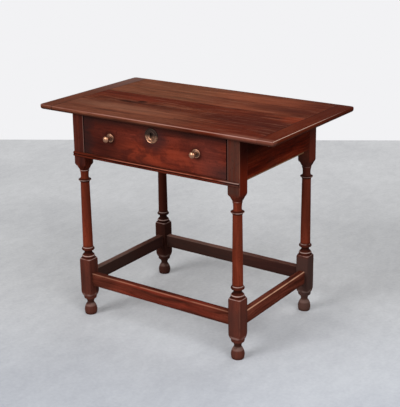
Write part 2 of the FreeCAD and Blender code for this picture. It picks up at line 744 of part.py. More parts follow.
def on_drawer_face(shape, x, z):
    """Turned piece moved to its place on the drawer's face, pointing forwards."""
    return placed(shape, Vector(x, drawer_face_y, z), Vector(0, -1, 0))


def knob(x):
    """Turned brass knob with a cove under its ball and a rod through the drawer front."""
    rod = KNOB_ROD_DIAMETER / 2
    stem = KNOB_STEM_DIAMETER / 2
    ball = KNOB_DIAMETER / 2
    rod_end = -DRAWER_FRONT_THICK - NUT_THICK - KNOB_ROD_SPARE

    def ball_point(shares):
        return Vector(ball * shares[0], 0, between(ROSE_THICK, KNOB_PROJECTION, shares[1]))

    steps = [
        [Vector(rod, 0, ROSE_THICK)],
        [Vector(stem, 0, ROSE_THICK)],
        [ball_point(KNOB_COVE_SHARES), ball_point(KNOB_NECK_SHARES)],
        [ball_point(KNOB_LOW_SHARES), ball_point(KNOB_BALL_SHARES)],
        [ball_point(KNOB_HIGH_SHARES), ball_point(KNOB_TIP_SHARES)],
    ]
    return on_drawer_face(turned(Vector(rod, 0, rod_end), steps, BRASS_SIDES), x, knob_z)


def knob_rose(x):
    """Dished brass disc between the knob and the drawer front."""
    bore = KNOB_ROD_DIAMETER / 2 + BORE_CLEARANCE

    def rose_point(shares):
        return Vector(ROSE_DIAMETER / 2 * shares[0], 0, ROSE_THICK * shares[1])

    rim = rose_point(ROSE_RIM_SHARES)
    steps = [
        [Vector(ROSE_DIAMETER / 2, 0, 0)],
        [rim, rose_point(ROSE_DISH_SHARES)],
        [rose_point(ROSE_COLLAR_SHARES)],
        [Vector(bore, 0, ROSE_THICK)],
    ]
    return on_drawer_face(turned(Vector(bore, 0, 0), steps, BRASS_SIDES, hollow=True), x, knob_z)


def rod_bore(x):
    """Hole for a knob's rod through the drawer front and the nut behind it."""
    length = DRAWER_FRONT_THICK + NUT_THICK + 2 * OVERRUN
    start = Vector(x, drawer_face_y - OVERRUN, knob_z)
    return bar(KNOB_ROD_DIAMETER + 2 * BORE_CLEARANCE, length, BRASS_SIDES, start, Vector(0, 1, 0))


def knob_nut(x):
    """Square nut that holds a knob on the inside of the drawer front."""
    half = NUT_SIZE / 2
    nut = block(x - half, x + half, drawer_in_y, drawer_in_y + NUT_THICK, knob_z - half, knob_z + half)
    return nut.cut(rod_bore(x))


def keyhole():
    """Round hole and slot for the key, from the escutcheon to the lock's plate."""
    start = drawer_face_y - ESCUTCHEON_THICK - OVERRUN
    length = plate_y - start
    hole = bar(KEYHOLE_DIAMETER, length, BRASS_SIDES, Vector(0, start, key_z), Vector(0, 1, 0))
    slot = block(-KEYHOLE_SLOT / 2, KEYHOLE_SLOT / 2, start, plate_y, key_z - KEYHOLE_DROP, key_z)
    return hole.fuse(slot)


def escutcheon():
    """Round cast plate with a rim and an inner ring, before its keyhole is cut."""
    def plate_point(shares):
        return Vector(ESCUTCHEON_DIAMETER / 2 * shares[0], 0, ESCUTCHEON_THICK * shares[1])

    steps = [
        [plate_point(RIM_CROWN_SHARES), plate_point(RIM_FOOT_SHARES)],
        [plate_point(RING_OUT_SHARES)],
        [plate_point(RING_CROWN_SHARES), plate_point(RING_IN_SHARES)],
    ]
    outer = Vector(ESCUTCHEON_DIAMETER / 2, 0, 0)
    return on_drawer_face(turned(outer, steps, ESCUTCHEON_SIDES), 0, escutcheon_z)


def escutcheon_pins():
    """Small brass pins in the hollow of the plate."""
    reach = ESCUTCHEON_DIAMETER / 2 * (RIM_FOOT_SHARES[0] + RING_OUT_SHARES[0]) / 2
    y = drawer_face_y - ESCUTCHEON_THICK * RIM_FOOT_SHARES[1]
    pins = []
    for sx in sides:
        point = Vector(sx * reach, y, escutcheon_z)
        pins.append(nail(point, Vector(0, 1, 0), PIN_LENGTH, PIN_HEAD, PIN_SHANK))
    return pins


def lock_plate():
    """Iron plate on the back of the drawer front, with the selvage that the bolt comes up through."""
    half = LOCK_WIDTH / 2
    plate = block(-half, half, plate_y, drawer_in_y, lock_low, drawer_high)
    selvage = block(-half, half, case_y, drawer_in_y, drawer_high - LOCK_PLATE_THICK, drawer_high)
    half_x = BOLT_WIDTH / 2 + SLIDE_CLEARANCE
    half_y = BOLT_THICK / 2 + SLIDE_CLEARANCE
    slot = block(-half_x, half_x, bolt_y - half_y, bolt_y + half_y, lock_low, drawer_high + OVERRUN)
    return plate.fuse(selvage.cut(slot)).removeSplitter().Solids[0]


case_x = LOCK_WIDTH / 2 - LOCK_CASE_MARGIN
case_low = lock_low + LOCK_CASE_MARGIN
case_limits = (-case_x, case_x, case_y, plate_y, case_low, drawer_high - LOCK_PLATE_THICK)


def lock_case():
    """Thin iron cap round the works, open towards the plate and at the top."""
    wall = LOCK_CASE_WALL
    hollow = block(
        wall - case_x, case_x - wall, case_y + wall, plate_y + OVERRUN,
        case_low + wall, drawer_high + OVERRUN,
    )
    return block(*case_limits).cut([hollow, keyhole()]).Solids[0]


def lock_bolt():
    half_x = BOLT_WIDTH / 2
    half_y = BOLT_THICK / 2
    low = bolt_high - BOLT_LENGTH
    return block(-half_x, half_x, bolt_y - half_y, bolt_y + half_y, low, bolt_high)


def lock_key_pin():
    """Pin on the plate that a hollow key turns on."""
    return bar(KEY_PIN_DIAMETER, LOCK_CASE_DEPTH, PEG_SIDES, Vector(0, plate_y, key_z), Vector(0, -1, 0))


def lock_nails():
    """Nails at the plate's corners."""
    x = LOCK_WIDTH / 2 * LOCK_NAIL_SHARES[0]
    mid = (lock_low + drawer_high) / 2
    rise = LOCK_HEIGHT / 2 * LOCK_NAIL_SHARES[1]
    places = [(sx * x, mid + sz * rise) for sx in sides for sz in sides]
    return [
        nail(Vector(x, drawer_in_y, z), Vector(0, -1, 0), LOCK_NAIL_LENGTH, LOCK_NAIL_HEAD, BRAD_SHANK)
        for x, z in places
    ]


def drawer_front(side_pair, fixings):
    """Drawer front with sockets for the dovetails, a rebate, the lock's bed, the keyhole and bores."""
    front = block(-drawer_x, drawer_x, drawer_face_y, drawer_in_y, drawer_low, drawer_high)
    edge = side_in_x + BOTTOM_REBATE
    half = LOCK_WIDTH / 2
    past_y = drawer_in_y + OVERRUN
    past_z = drawer_high + OVERRUN
    tools = [
        block(-edge, edge, drawer_in_y - BOTTOM_REBATE, past_y, drawer_low - OVERRUN, bottom_high),
        block(-half, half, plate_y, past_y, lock_low, past_z),
        block(-half, half, case_y, past_y, drawer_high - LOCK_PLATE_THICK, past_z),
        block(*case_limits),
        keyhole(),
        *side_pair,
        *fixings,
    ]
    tools += [rod_bore(sx * knob_x) for sx in sides]
    return cut_all(front, tools)


def table():
    """All pieces by name."""
    pegs = {
        "rail_pegs": rail_pegs(),
        "stretcher_pegs": stretcher_pegs(),
        "top_pegs": top_pegs(),
        "cleat_pegs": cleat_pegs(),
        "moulding_nails": moulding_nails(),
        "guide_nails": guide_nails(),
    }
    driven = [piece for group in pegs.values() for piece in group]
    nodes = {name: Part.makeCompound(group) for name, group in pegs.items()}

    blank = top_blank()
    for name, limits in board_limits.items():
        nodes[name] = cut_all(top_board(blank, *limits), driven + [bolt_mortise()])
    cleat = right_cleat(blank)
    nodes["top_right_cleat"] = cut_all(cleat, driven)
    nodes["top_left_cleat"] = cut_all(mirrored_x(cleat), driven)

    holes = [mortise(tenon, "x") for tenon in rear_rail_tenons + drawer_rail_tenons]
    holes += [mortise(tenon, "x") for body, tenons in long_stretchers.values() for tenon in tenons]
    holes += [mortise(tenon, "y") for tenon in side_rail_tenons]
    holes += [mirrored_x(mortise(tenon, "y")) for tenon in side_rail_tenons]
    holes += [mortise(tenon, "y") for body, tenons in side_stretchers.values() for tenon in tenons]
    leg = leg_blank()
    for side_name, sx in (("left", -1), ("right", 1)):
        for end_name, sy in (("front", -1), ("rear", 1)):
            stick = leg.copy()
            stick.translate(Vector(sx * leg_x, sy * leg_y, 0))
            nodes[f"leg_{end_name}_{side_name}"] = cut_all(stick, holes + driven)

    runner_holes = [mortise(runner_front_tenon, "y"), mortise(runner_rear_tenon, "y")]
    runner_holes += [mirrored_x(hole) for hole in runner_holes]
    rail = stick_with_tenons(side_rail_body, side_rail_tenons)
    nodes["right_rail"] = cut_all(rail, driven)
    nodes["left_rail"] = cut_all(mirrored_x(rail), driven)
    rail = stick_with_tenons(rear_rail_body, rear_rail_tenons)
    nodes["rear_rail"] = cut_all(rail, driven + runner_holes)
    rail = stick_with_tenons(drawer_rail_body, drawer_rail_tenons)
    nodes["drawer_rail"] = cut_all(rail, driven + runner_holes)
    nodes["front_moulding"] = cut_all(front_moulding(), driven)

    for name, limits in (long_stretchers | side_stretchers).items():
        nodes[name] = cut_all(stick_with_tenons(*limits), driven)

    runner = stick_with_tenons(runner_body, [runner_tail, runner_front_tenon, runner_rear_tenon])
    nodes["right_runner"] = cut_all(runner, driven)
    nodes["left_runner"] = cut_all(mirrored_x(runner), driven)
    nodes["right_guide"] = cut_all(right_guide(), driven)
    nodes["left_guide"] = cut_all(mirrored_x(right_guide()), driven)
    nodes["drawer_stops"] = Part.makeCompound(drawer_stops())

    brads = drawer_nails()
    pins = escutcheon_pins()
    plate_nails = lock_nails()
    side = right_drawer_side()
    side_pair = (side, mirrored_x(side))
    nodes["drawer_nails"] = Part.makeCompound(brads)
    nodes["drawer_right_side"] = cut_all(side_pair[0], brads)
    nodes["drawer_left_side"] = cut_all(side_pair[1], brads)
    nodes["drawer_back"] = cut_all(drawer_back(), brads)
    for name, limits in bottom_limits().items():
        nodes[f"drawer_bottom_{name}"] = cut_all(bottom_board(*limits), brads)
    nodes["drawer_front"] = drawer_front(side_pair, pins + plate_nails)

    for name, sx in (("left", -1), ("right", 1)):
        nodes[f"{name}_knob"] = knob(sx * knob_x)
        nodes[f"{name}_knob_rose"] = knob_rose(sx * knob_x)
    nodes["knob_nuts"] = Part.makeCompound([knob_nut(sx * knob_x) for sx in sides])
    nodes["escutcheon"] = cut_all(escutcheon(), pins + [keyhole()])
    nodes["escutcheon_pins"] = Part.makeCompound(pins)

    nodes["lock_plate"] = cut_all(lock_plate(), plate_nails)
    nodes["lock_case"] = lock_case()
    nodes["lock_bolt"] = lock_bolt()
    nodes["lock_key_pin"] = lock_key_pin()
    nodes["lock_nails"] = Part.makeCompound(plate_nails)
    return nodes


os.makedirs("parts", exist_ok=True)
for node, piece in table().items():
    piece.exportStep(os.path.join("parts", f"{node}.step"))
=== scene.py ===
from math import acos, cos, exp, log, pi, radians, sin, sqrt

import bmesh
import bpy
from mathutils import Matrix, Vector, noise


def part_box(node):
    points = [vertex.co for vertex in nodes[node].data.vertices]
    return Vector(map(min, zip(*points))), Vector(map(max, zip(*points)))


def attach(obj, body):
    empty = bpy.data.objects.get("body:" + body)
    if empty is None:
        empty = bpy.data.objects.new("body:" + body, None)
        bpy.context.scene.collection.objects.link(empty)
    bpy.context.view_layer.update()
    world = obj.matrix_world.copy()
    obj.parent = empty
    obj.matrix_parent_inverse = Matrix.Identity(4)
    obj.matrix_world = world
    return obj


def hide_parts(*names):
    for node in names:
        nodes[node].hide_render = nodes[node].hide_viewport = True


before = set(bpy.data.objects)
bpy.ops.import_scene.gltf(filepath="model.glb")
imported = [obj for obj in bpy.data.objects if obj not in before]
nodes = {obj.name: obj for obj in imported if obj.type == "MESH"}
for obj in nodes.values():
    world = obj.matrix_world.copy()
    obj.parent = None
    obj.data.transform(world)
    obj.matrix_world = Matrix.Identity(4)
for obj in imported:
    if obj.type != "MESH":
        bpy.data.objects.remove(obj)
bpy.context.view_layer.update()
scene = bpy.context.scene

# Places read from the solids, in metres
cleat_low, cleat_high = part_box("top_right_cleat")
TABLE_HEIGHT, UNDER_TOP = cleat_high.z, cleat_low.z
TOP_X, TOP_Y, CLEAT_IN_X = cleat_high.x, cleat_high.y, cleat_low.x
FRONT_JOINT_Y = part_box("top_front_board")[1].y
REAR_JOINT_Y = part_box("top_rear_board")[0].y
leg_low, leg_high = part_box("leg_rear_right")
FRAME_X, FRAME_Y = leg_high.x, leg_high.y
INNER_X, INNER_Y = leg_low.x, leg_low.y
LEG_HALF = (FRAME_X - INNER_X) / 2
LEG_X, LEG_Y = FRAME_X - LEG_HALF, FRAME_Y - LEG_HALF
moulding_low, moulding_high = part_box("front_moulding")
MOULDING_LOW, RAIL_LOW = moulding_low.z, moulding_high.z
ARCH_RADIUS = (RAIL_LOW - MOULDING_LOW) / 4
drawer_low, drawer_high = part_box("drawer_front")
DRAWER_X, DRAWER_FACE_Y = drawer_high.x, drawer_low.y
DRAWER_LOW, DRAWER_HIGH = drawer_low.z, drawer_high.z
knob_low, knob_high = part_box("right_knob")
KNOB_X, KNOB_Z = (knob_low.x + knob_high.x) / 2, (knob_low.z + knob_high.z) / 2
KNOB_OUT, KNOB_BACK = DRAWER_FACE_Y - knob_low.y, DRAWER_FACE_Y - knob_high.y
ROSE_OUT = DRAWER_FACE_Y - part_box("right_knob_rose")[0].y
lock_low, lock_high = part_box("escutcheon")
LOCK_Z, LOCK_OUT = (lock_low.z + lock_high.z) / 2, DRAWER_FACE_Y - lock_low.y
KEY_Z = sum(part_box("lock_key_pin"), Vector()).z / 2

# How far old boards and legs have shrunk below the ends of their pegs
SHRUNK = 0.0002

# Sizes of the turned pieces, in metres
KNOB_RADIUS, KNOB_STEM, KNOB_ROD = 0.0105, 0.0045, 0.003
ROSE_RADIUS, LOCK_RADIUS = 0.014, 0.0245
KEYHOLE_RADIUS, KEYHOLE_SLOT, KEYHOLE_DROP = 0.0035, 0.0023, 0.014
KNOB_PLAY, BOLT_TRAVEL, BOLT_PLAY = 0.0001, 0.008, 0.001


def rgb(red, green, blue):
    """Colour as a screen shows it, 0 to 255, as the light that a shader takes."""
    shares = [value / 255 for value in (red, green, blue)]
    return tuple(s / 12.92 if s < 0.04045 else ((s + 0.055) / 1.055) ** 2.4 for s in shares)


class Wire:
    """A value that runs through a finish, for sums in plain Python."""

    def __init__(self, tree, socket):
        self.tree = tree
        self.socket = socket

    def __add__(self, other):
        return self.tree.math("ADD", self, other)

    def __sub__(self, other):
        return self.tree.math("SUBTRACT", self, other)

    def __rsub__(self, other):
        return self.tree.math("SUBTRACT", other, self)

    def __mul__(self, other):
        return self.tree.math("MULTIPLY", self, other)

    def __truediv__(self, other):
        return self.tree.math("DIVIDE", self, other)

    def __rtruediv__(self, other):
        return self.tree.math("DIVIDE", other, self)

    def __abs__(self):
        return self.tree.math("ABSOLUTE", self)

    __radd__ = __add__
    __rmul__ = __mul__


class Tree:
    """Shader nodes of one material or of the room."""

    def __init__(self, owner):
        self.owner = owner
        owner.use_nodes = True
        self.nodes = owner.node_tree.nodes
        self.links = owner.node_tree.links
        self.nodes.clear()

    def node(self, kind, settings=None, sockets=None, out=0):
        made = self.nodes.new(kind)
        for key, value in (settings or {}).items():
            if key == "stops":
                self.set_stops(made.color_ramp.elements, value)
            else:
                setattr(made, key, value)
        for key, value in (sockets or {}).items():
            if isinstance(value, Wire):
                self.links.new(value.socket, made.inputs[key])
            elif isinstance(value, tuple) and made.inputs[key].type == "RGBA":
                made.inputs[key].default_value = (*value, 1)
            else:
                made.inputs[key].default_value = value
        return Wire(self, made.outputs[out]) if made.outputs else made

    def set_stops(self, elements, stops):
        while len(elements) < len(stops):
            elements.new(1)
        for element, (place, colour) in zip(elements, stops):
            element.position = place
            element.color = (*colour, 1)

    def outlets(self, wire, *names):
        """Other values that come out of the same node."""
        return [Wire(self, wire.socket.node.outputs[name]) for name in names]

    def math(self, operation, *values):
        return self.node("ShaderNodeMath", {"operation": operation}, dict(enumerate(values)))

    def vector(self, operation, *values, out=0):
        return self.node("ShaderNodeVectorMath", {"operation": operation}, dict(enumerate(values)), out)

    def axes(self, vector):
        return self.outlets(self.node("ShaderNodeSeparateXYZ", None, {0: vector}), "X", "Y", "Z")

    def mix(self, share, first, second):
        sockets = {"Factor": share, 6: first, 7: second}
        return self.node("ShaderNodeMix", {"data_type": "RGBA"}, sockets, 2)

    def ramp(self, value, stops):
        return self.node("ShaderNodeValToRGB", {"stops": stops}, {"Fac": value})

    def rise(self, value, low, high):
        """Smooth step from 0 at low to 1 at high."""
        settings = {"interpolation_type": "SMOOTHSTEP"}
        sockets = {"Value": value, "From Min": low, "From Max": high}
        return self.node("ShaderNodeMapRange", settings, sockets)

    def fall(self, value, low, high):
        """Smooth step from 1 at low to 0 at high."""
        return 1 - self.rise(value, low, high)

    def noise(self, place, scale, detail=2.0, roughness=0.5, distortion=0.0):
        sockets = {"Vector": place, "Scale": scale, "Detail": detail, "Roughness": roughness}
        return self.node("ShaderNodeTexNoise", None, {**sockets, "Distortion": distortion})

    def nearness(self, value, limit, full, end):
        """Mask that is 1 within a short way of a limit and 0 beyond a longer one, on both sides."""
        return self.fall(abs(value - limit), full, end)


class Finish(Tree):
    """One material, placed by the object's own coordinates."""

    def __init__(self, name):
        super().__init__(bpy.data.materials.new(name))
        self.place = self.node("ShaderNodeTexCoord", out="Object")

    def spot(self, centre, reach, edge=0.3):
        """Mask that is 1 about a centre and 0 beyond a reach along each axis."""
        away = self.vector("DIVIDE", self.vector("SUBTRACT", self.place, centre), reach)
        return self.fall(self.vector("LENGTH", away, out=1), edge, 1.0)

    def close(self, colour, roughness, height, bump, distance, **constants):
        """Joins what varies over the surface to the shader and returns the material."""
        relief = {"Height": height, "Strength": bump, "Distance": distance}
        normal = self.node("ShaderNodeBump", None, relief)
        sockets = {"Base Color": colour, "Roughness": roughness, "Normal": normal, **constants}
        shader = self.node("ShaderNodeBsdfPrincipled", None, sockets)
        self.node("ShaderNodeOutputMaterial", None, {"Surface": shader})
        return self.owner


# How much the grain is drawn out along each axis, how far it wanders and how deep it stands, in metres
GRAIN_STRETCH = {"x": (0.055, 1, 1), "y": (1, 0.055, 1), "z": (1, 1, 0.055)}
GRAIN_DRIFT = (0.03, 0.03, 0.03)
GRAIN_DEPTH = 0.0006
WOOD_IOR = 1.46
# Depth below a face within which the finish takes it for that face, in metres
FACE_DEEP, FACE_THIN = 0.003, 0.001


class Wood(Finish):
    """Old polished wood with its grain along one axis."""

    def __init__(self, name, grain, tones, seed, patina=rgb(50, 26, 20), patina_share=0.55):
        super().__init__(name)
        self.moved = self.vector("ADD", self.place, (seed * 1.7, seed * 0.9, seed * 2.3))
        waves = {"Vector": self.moved, "Scale": 5.0, "Detail": 1.0}
        drift = self.node("ShaderNodeTexNoise", None, waves, 1)
        drift = self.vector("MULTIPLY", self.vector("SUBTRACT", drift, (0.5, 0.5, 0.5)), GRAIN_DRIFT)
        self.along = self.vector("MULTIPLY", self.vector("ADD", self.moved, drift), GRAIN_STRETCH[grain])
        self.figure = self.noise(self.along, 34.0, 3.0, 0.55, 0.5)
        self.streak = self.noise(self.along, 190.0, 4.0, 0.6)
        self.pores = self.noise(self.along, 1100.0, 1.0)
        self.cloud = self.noise(self.moved, 8.0, 3.0)
        dark, middle, light = tones
        tone = self.figure * 0.6 + self.streak * 0.4
        self.colour = self.ramp(tone, [(0.37, dark), (0.5, middle), (0.63, light)])
        self.paint(self.rise(self.cloud, 0.44, 0.72) * patina_share, patina)
        self.paint(self.fall(self.pores, 0.34, 0.46) * 0.35, dark)
        specks = self.noise(self.vector("ADD", self.moved, (3.1, 1.3, 2.7)), 150.0, 2.0)
        self.paint(self.fall(specks, 0.30, 0.40) * 0.6, dark)

    def paint(self, mask, colour):
        self.colour = self.mix(mask, self.colour, colour)

    def patches(self, scale, low, high):
        """Mask of uneven patches."""
        return self.rise(self.noise(self.moved, scale, 3.0), low, high)

    def facing(self, value, limit):
        """Mask of the face that lies at a limit."""
        return self.rise(value, limit - FACE_DEEP, limit - FACE_THIN)

    def arris(self, low, high, width):
        """Mask of the edges of a stick, given its lowest and highest corners."""
        half = [(b - a) / 2 for a, b in zip(low, high)]
        middle = tuple((a + b) / 2 for a, b in zip(low, high))
        away = self.vector("ABSOLUTE", self.vector("SUBTRACT", self.place, middle))
        near = [self.rise(axis, size - width, size) for axis, size in zip(self.axes(away), half)]
        worn = near[0] * near[1] + near[1] * near[2] + near[0] * near[2]
        return self.math("MINIMUM", worn, 1.0) * self.patches(45.0, 0.3, 0.62)

    def polish(self, gloss, shine, bump=0.25):
        roughness = gloss + self.cloud * 0.16 + (1 - self.pores) * 0.06
        height = self.streak * 0.5 + self.pores * 0.3 + self.figure * 0.6
        constants = {"IOR": WOOD_IOR, "Specular IOR Level": shine}
        return self.close(self.colour, roughness, height, bump, GRAIN_DEPTH, **constants)


TOP_TONES = (rgb(50, 18, 9), rgb(90, 37, 20), rgb(122, 64, 41))
FRAME_TONES = (rgb(46, 14, 8), rgb(86, 33, 20), rgb(116, 50, 33))
RAIL_TONES = (rgb(44, 9, 3), rgb(82, 22, 9), rgb(110, 40, 20))
STRETCHER_TONES = (rgb(58, 24, 16), rgb(95, 45, 33), rgb(116, 60, 45))
DRAWER_TONES = (rgb(56, 17, 12), rgb(88, 34, 24), rgb(112, 47, 34))
LINING_TONES = (rgb(96, 66, 42), rgb(132, 96, 64), rgb(160, 122, 86))
WORN = rgb(148, 94, 74)
# Dark colour for grime, and for painted shade under the top, in the turnings and on the inner sides of the
# rear legs
GRIME_AND_SHADE = rgb(34, 17, 13)
BLACK = rgb(14, 8, 7)
RUBBED_TOP = rgb(150, 102, 80)
EDGE_SHEEN = rgb(140, 92, 78)

# Roughness and shine of polished, waxed and plain wood, and of bare wood with the depth of its grain
POLISHED, WAXED, PLAIN = (0.42, 0.006), (0.50, 0.006), (0.50, 0.005)
BARE = (0.62, 0.2, 0.35)

# Lines on the top, in metres: half width at full strength, and where they end
BOARD_JOINT, CLEAT_JOINT = (0.0006, 0.0022), (0.0006, 0.002)
BOARD_EDGE, CLEAT_FRONT_EDGE, CLEAT_OUTER_EDGE = (0.0010, 0.0026), (0.0006, 0.0018), (0.0004, 0.0013)
FRONT_EDGE_SHIFT, OUTER_EDGE_SHIFT = 0.0006, 0.0018
SHEEN_FULL, SHEEN_END = 0.012, 0.030
EDGE_FADE = 0.003

# Patches on the top: centre and reach along x and y, share, tone, and the share of the reach that it fills
REAR_STAIN = (((0.06, 0.10), (0.15, 0.06), 0.45, rgb(68, 28, 18), 0.3),)
FRONT_STAINS = (
    ((0.26, -0.085), (0.22, 0.065), 0.9, rgb(50, 17, 10), 0.5),
    ((0.28, -0.145), (0.16, 0.050), 0.5, rgb(58, 20, 12), 0.3),
    ((-0.20, -0.145), (0.26, 0.050), 0.3, RUBBED_TOP, 0.3),
)
RIGHT_END_STAINS = (
    ((0.365, -0.160), (0.055, 0.045), 0.55, rgb(58, 21, 13), 0.3),
    ((0.365, 0.000), (0.060, 0.050), 0.45, rgb(150, 62, 36), 0.3),
)
STREAK_CENTRE, STREAK_REACH = (-0.19, -0.066), (0.085, 0.014)
RED_PATCH = (((-0.19, -0.02), (0.10, 0.04), 0.35, rgb(120, 44, 28), 0.3),)
KNOTS = (
    ((-0.222, -0.068), (0.040, 0.013), 0.75, rgb(34, 14, 6), 0.3),
    ((-0.170, -0.049), (0.024, 0.014), 0.90, rgb(28, 11, 5), 0.4),
    ((0.240, 0.095), (0.150, 0.060), 0.60, rgb(62, 25, 16), 0.3),
)


def top_spot(wood, centre, reach, filled):
    return wood.spot((*centre, TABLE_HEIGHT), (*reach, 1.0), filled)


def stain_top(wood, stains):
    for centre, reach, share, tone, filled in stains:
        wood.paint(top_spot(wood, centre, reach, filled) * share, tone)


def top_board_finish():
    wood = Wood("old_top_boards", "x", TOP_TONES, 1.0)
    x, y, z = wood.axes(wood.place)
    paint, rise, fall = wood.paint, wood.rise, wood.fall
    rough = (wood.figure - 0.5) * 0.06
    behind = rise(y, REAR_JOINT_Y - 0.001, REAR_JOINT_Y + 0.001)
    # Painted sheen: the rear board lighter and greyer, as the room's reflection seen at a low angle
    paint(behind * fall(x, -0.1, 0.3) * 0.4, rgb(136, 86, 62))
    paint(behind * rise(x, -0.1, 0.1) * fall(x, 0.24, 0.36) * 0.5, rgb(146, 76, 52))
    paint(rise(y + rough, -0.01, 0.09) * rise(x + rough, 0.20, 0.38) * 0.55, rgb(84, 29, 15))
    stain_top(wood, REAR_STAIN)
    band = (1 - behind) * rise(y + rough, -0.075, 0.0) * fall(x, 0.0, 0.30)
    paint(band * 0.75, rgb(88, 29, 13))
    front = fall(y + rough, -0.13, -0.07)
    # Painted sheen on the left of the front board, lighter and greyer
    paint(front * fall(x, 0.0, 0.26) * 0.45, rgb(130, 78, 58))
    paint(front * rise(x + rough, 0.05, 0.30) * 0.7, rgb(90, 33, 18))
    stain_top(wood, FRONT_STAINS)
    paint((1 - behind) * rise(x, 0.0, 0.2) * 0.25, rgb(112, 38, 18))
    paint(fall(y + rough, -0.12, -0.08) * fall(x, -0.34, -0.24) * 0.35, rgb(84, 46, 33))
    paint(rise(y, 0.19, 0.235) * rise(x, -0.2, 0.0) * 0.4, rgb(68, 36, 24))
    stain_top(wood, RIGHT_END_STAINS)
    streak = top_spot(wood, STREAK_CENTRE, STREAK_REACH, 0.1) * rise(wood.streak, 0.3, 0.6)
    paint(streak * 0.75, rgb(40, 14, 8))
    stain_top(wood, RED_PATCH)
    shade = rise(wood.noise(wood.along, 62.0, 5.0, 0.68, 0.5), 0.53, 0.68)
    paint(shade * (0.40 + rise(x, -0.2, 0.2) * (1 - behind) * 0.15), rgb(42, 15, 8))
    fine = wood.noise(wood.along, 120.0, 4.0, 0.7)
    paint(fall(fine, 0.34, 0.47) * 0.30, RUBBED_TOP)
    paint(rise(fine, 0.54, 0.66) * 0.50, rgb(38, 13, 7))
    stain_top(wood, KNOTS)
    for joint, share in ((FRONT_JOINT_Y, 0.45), (REAR_JOINT_Y, 0.6)):
        paint(wood.nearness(y, joint, *BOARD_JOINT) * share, GRIME_AND_SHADE)
    full, end = CLEAT_JOINT
    paint(rise(abs(x), CLEAT_IN_X - end, CLEAT_IN_X - full) * 0.7, GRIME_AND_SHADE)
    # Front edge: a worn line that is also a painted highlight, brighter towards the right end, with painted
    # sheen beside it
    line = wood.nearness(TABLE_HEIGHT - TOP_Y - y, z, *BOARD_EDGE) * fall(y, 0.0, 0.1)
    middle = rise(x, -0.30, -0.05)
    wear_and_highlight = 0.2 + middle * 0.45 + wood.patches(24.0, 0.3, 0.65) * 0.25
    paint(line * wear_and_highlight, rgb(164, 120, 108))
    right_end = rise(x, 0.22, 0.32)
    paint(line * right_end * 0.5, rgb(186, 152, 144))
    paint(fall(y, -TOP_Y + SHEEN_FULL, -TOP_Y + SHEEN_END) * right_end * 0.35, EDGE_SHEEN)
    paint(fall(z, UNDER_TOP + EDGE_FADE, TABLE_HEIGHT - EDGE_FADE) * 0.7, GRIME_AND_SHADE)
    return wood.polish(*WAXED)


def cleat_finish():
    wood = Wood("old_cleats", "y", TOP_TONES, 4.0)
    x, y, z = wood.axes(wood.place)
    paint, rise, fall = wood.paint, wood.rise, wood.fall
    right = rise(x, -0.1, 0.1)
    # Left cleat lighter, and greyer towards the rear: painted sheen
    paint((1 - right) * 0.5, rgb(102, 62, 47))
    paint((1 - right) * rise(y, -0.08, 0.2) * 0.4, rgb(116, 98, 94))
    paint(right * 0.7, rgb(84, 26, 9))
    paint(right * rise(y, -0.02, 0.12) * 0.35, rgb(58, 24, 16))
    full, end = CLEAT_JOINT
    paint(fall(abs(x), CLEAT_IN_X + full, CLEAT_IN_X + end) * 0.7, GRIME_AND_SHADE)
    paint(fall(y, -TOP_Y + SHEEN_FULL, -TOP_Y + SHEEN_END) * right * 0.35, EDGE_SHEEN)
    # Front edge: a worn line that is also a painted highlight
    front = TABLE_HEIGHT - TOP_Y - y + FRONT_EDGE_SHIFT
    line = wood.nearness(front, z, *CLEAT_FRONT_EDGE) * fall(y, 0.0, 0.1)
    line = line * fall(x, TOP_X - 0.005, TOP_X - 0.003)
    paint(line * (0.3 + right * 0.4), rgb(180, 142, 132))
    # Outer edge: a thin near-white line, a worn arris drawn as a painted highlight
    outer = TABLE_HEIGHT - TOP_X + x + OUTER_EDGE_SHIFT
    wear_and_highlight = fall(y, -0.10, 0.22) * rise(y, -TOP_Y + 0.002, -TOP_Y + 0.004)
    wear_and_highlight = wear_and_highlight * wood.patches(14.0, 0.2, 0.4)
    paint(wood.nearness(outer, z, *CLEAT_OUTER_EDGE) * wear_and_highlight * 0.8, rgb(240, 206, 186))
    paint(fall(z, UNDER_TOP + EDGE_FADE, TABLE_HEIGHT - EDGE_FADE) * 0.7, GRIME_AND_SHADE)
    return wood.polish(*WAXED)


# Height, half width and share of the light lines around the turnings of a leg: worn rims drawn as painted
# highlights
WEAR_AND_HIGHLIGHT_LINES = (
    (0.034, 0.008, 0.17),
    (0.072, 0.005, 0.16),
    (0.1985, 0.0016, 0.45),
    (0.2095, 0.0020, 0.58),
    (0.2378, 0.0020, 0.56),
    (0.4709, 0.0015, 0.5),
    (0.5035, 0.0012, 0.5),
)

# Heights between which the finish of a leg changes, in metres
FLOOR_GRIME, FOOT_END = (0.0, 0.012), (0.050, 0.062)
BLOCK_START, BLOCK_END, LOWER_END = (0.078, 0.090), (0.189, 0.199), (0.196, 0.206)
BASE_START, BASE_END = (0.199, 0.203), (0.238, 0.246)
RING_START, RING_END = (0.462, 0.466), (0.474, 0.478)
NECK_START, NECK_END = (0.472, 0.478), (0.515, 0.545)
COLUMN_END = (0.496, 0.504)
CUP_START, CUP_END = (0.500, 0.506), (0.530, 0.560)
UPPER_START, OPENING_START, OVERHANG_SHADE = (0.515, 0.535), (0.568, 0.570), (0.57, 0.66)
# Across a leg, in metres: inner sides that take painted shade, arrises, and the cheek beside the drawer,
# painted black as shade in the gap
SHADED_INNER, ARRIS_START = (-0.012, 0.016), (0.0, 0.004)
CHEEK, CHEEK_EDGE = (0.0005, 0.003), (0.002, 0.0005)
# Shares of half the stock between which grime fades out of the turnings and the arrises begin
HOLLOW_REACH, ARRIS_REACH = (0.54, 0.80), (1.335, 1.372)


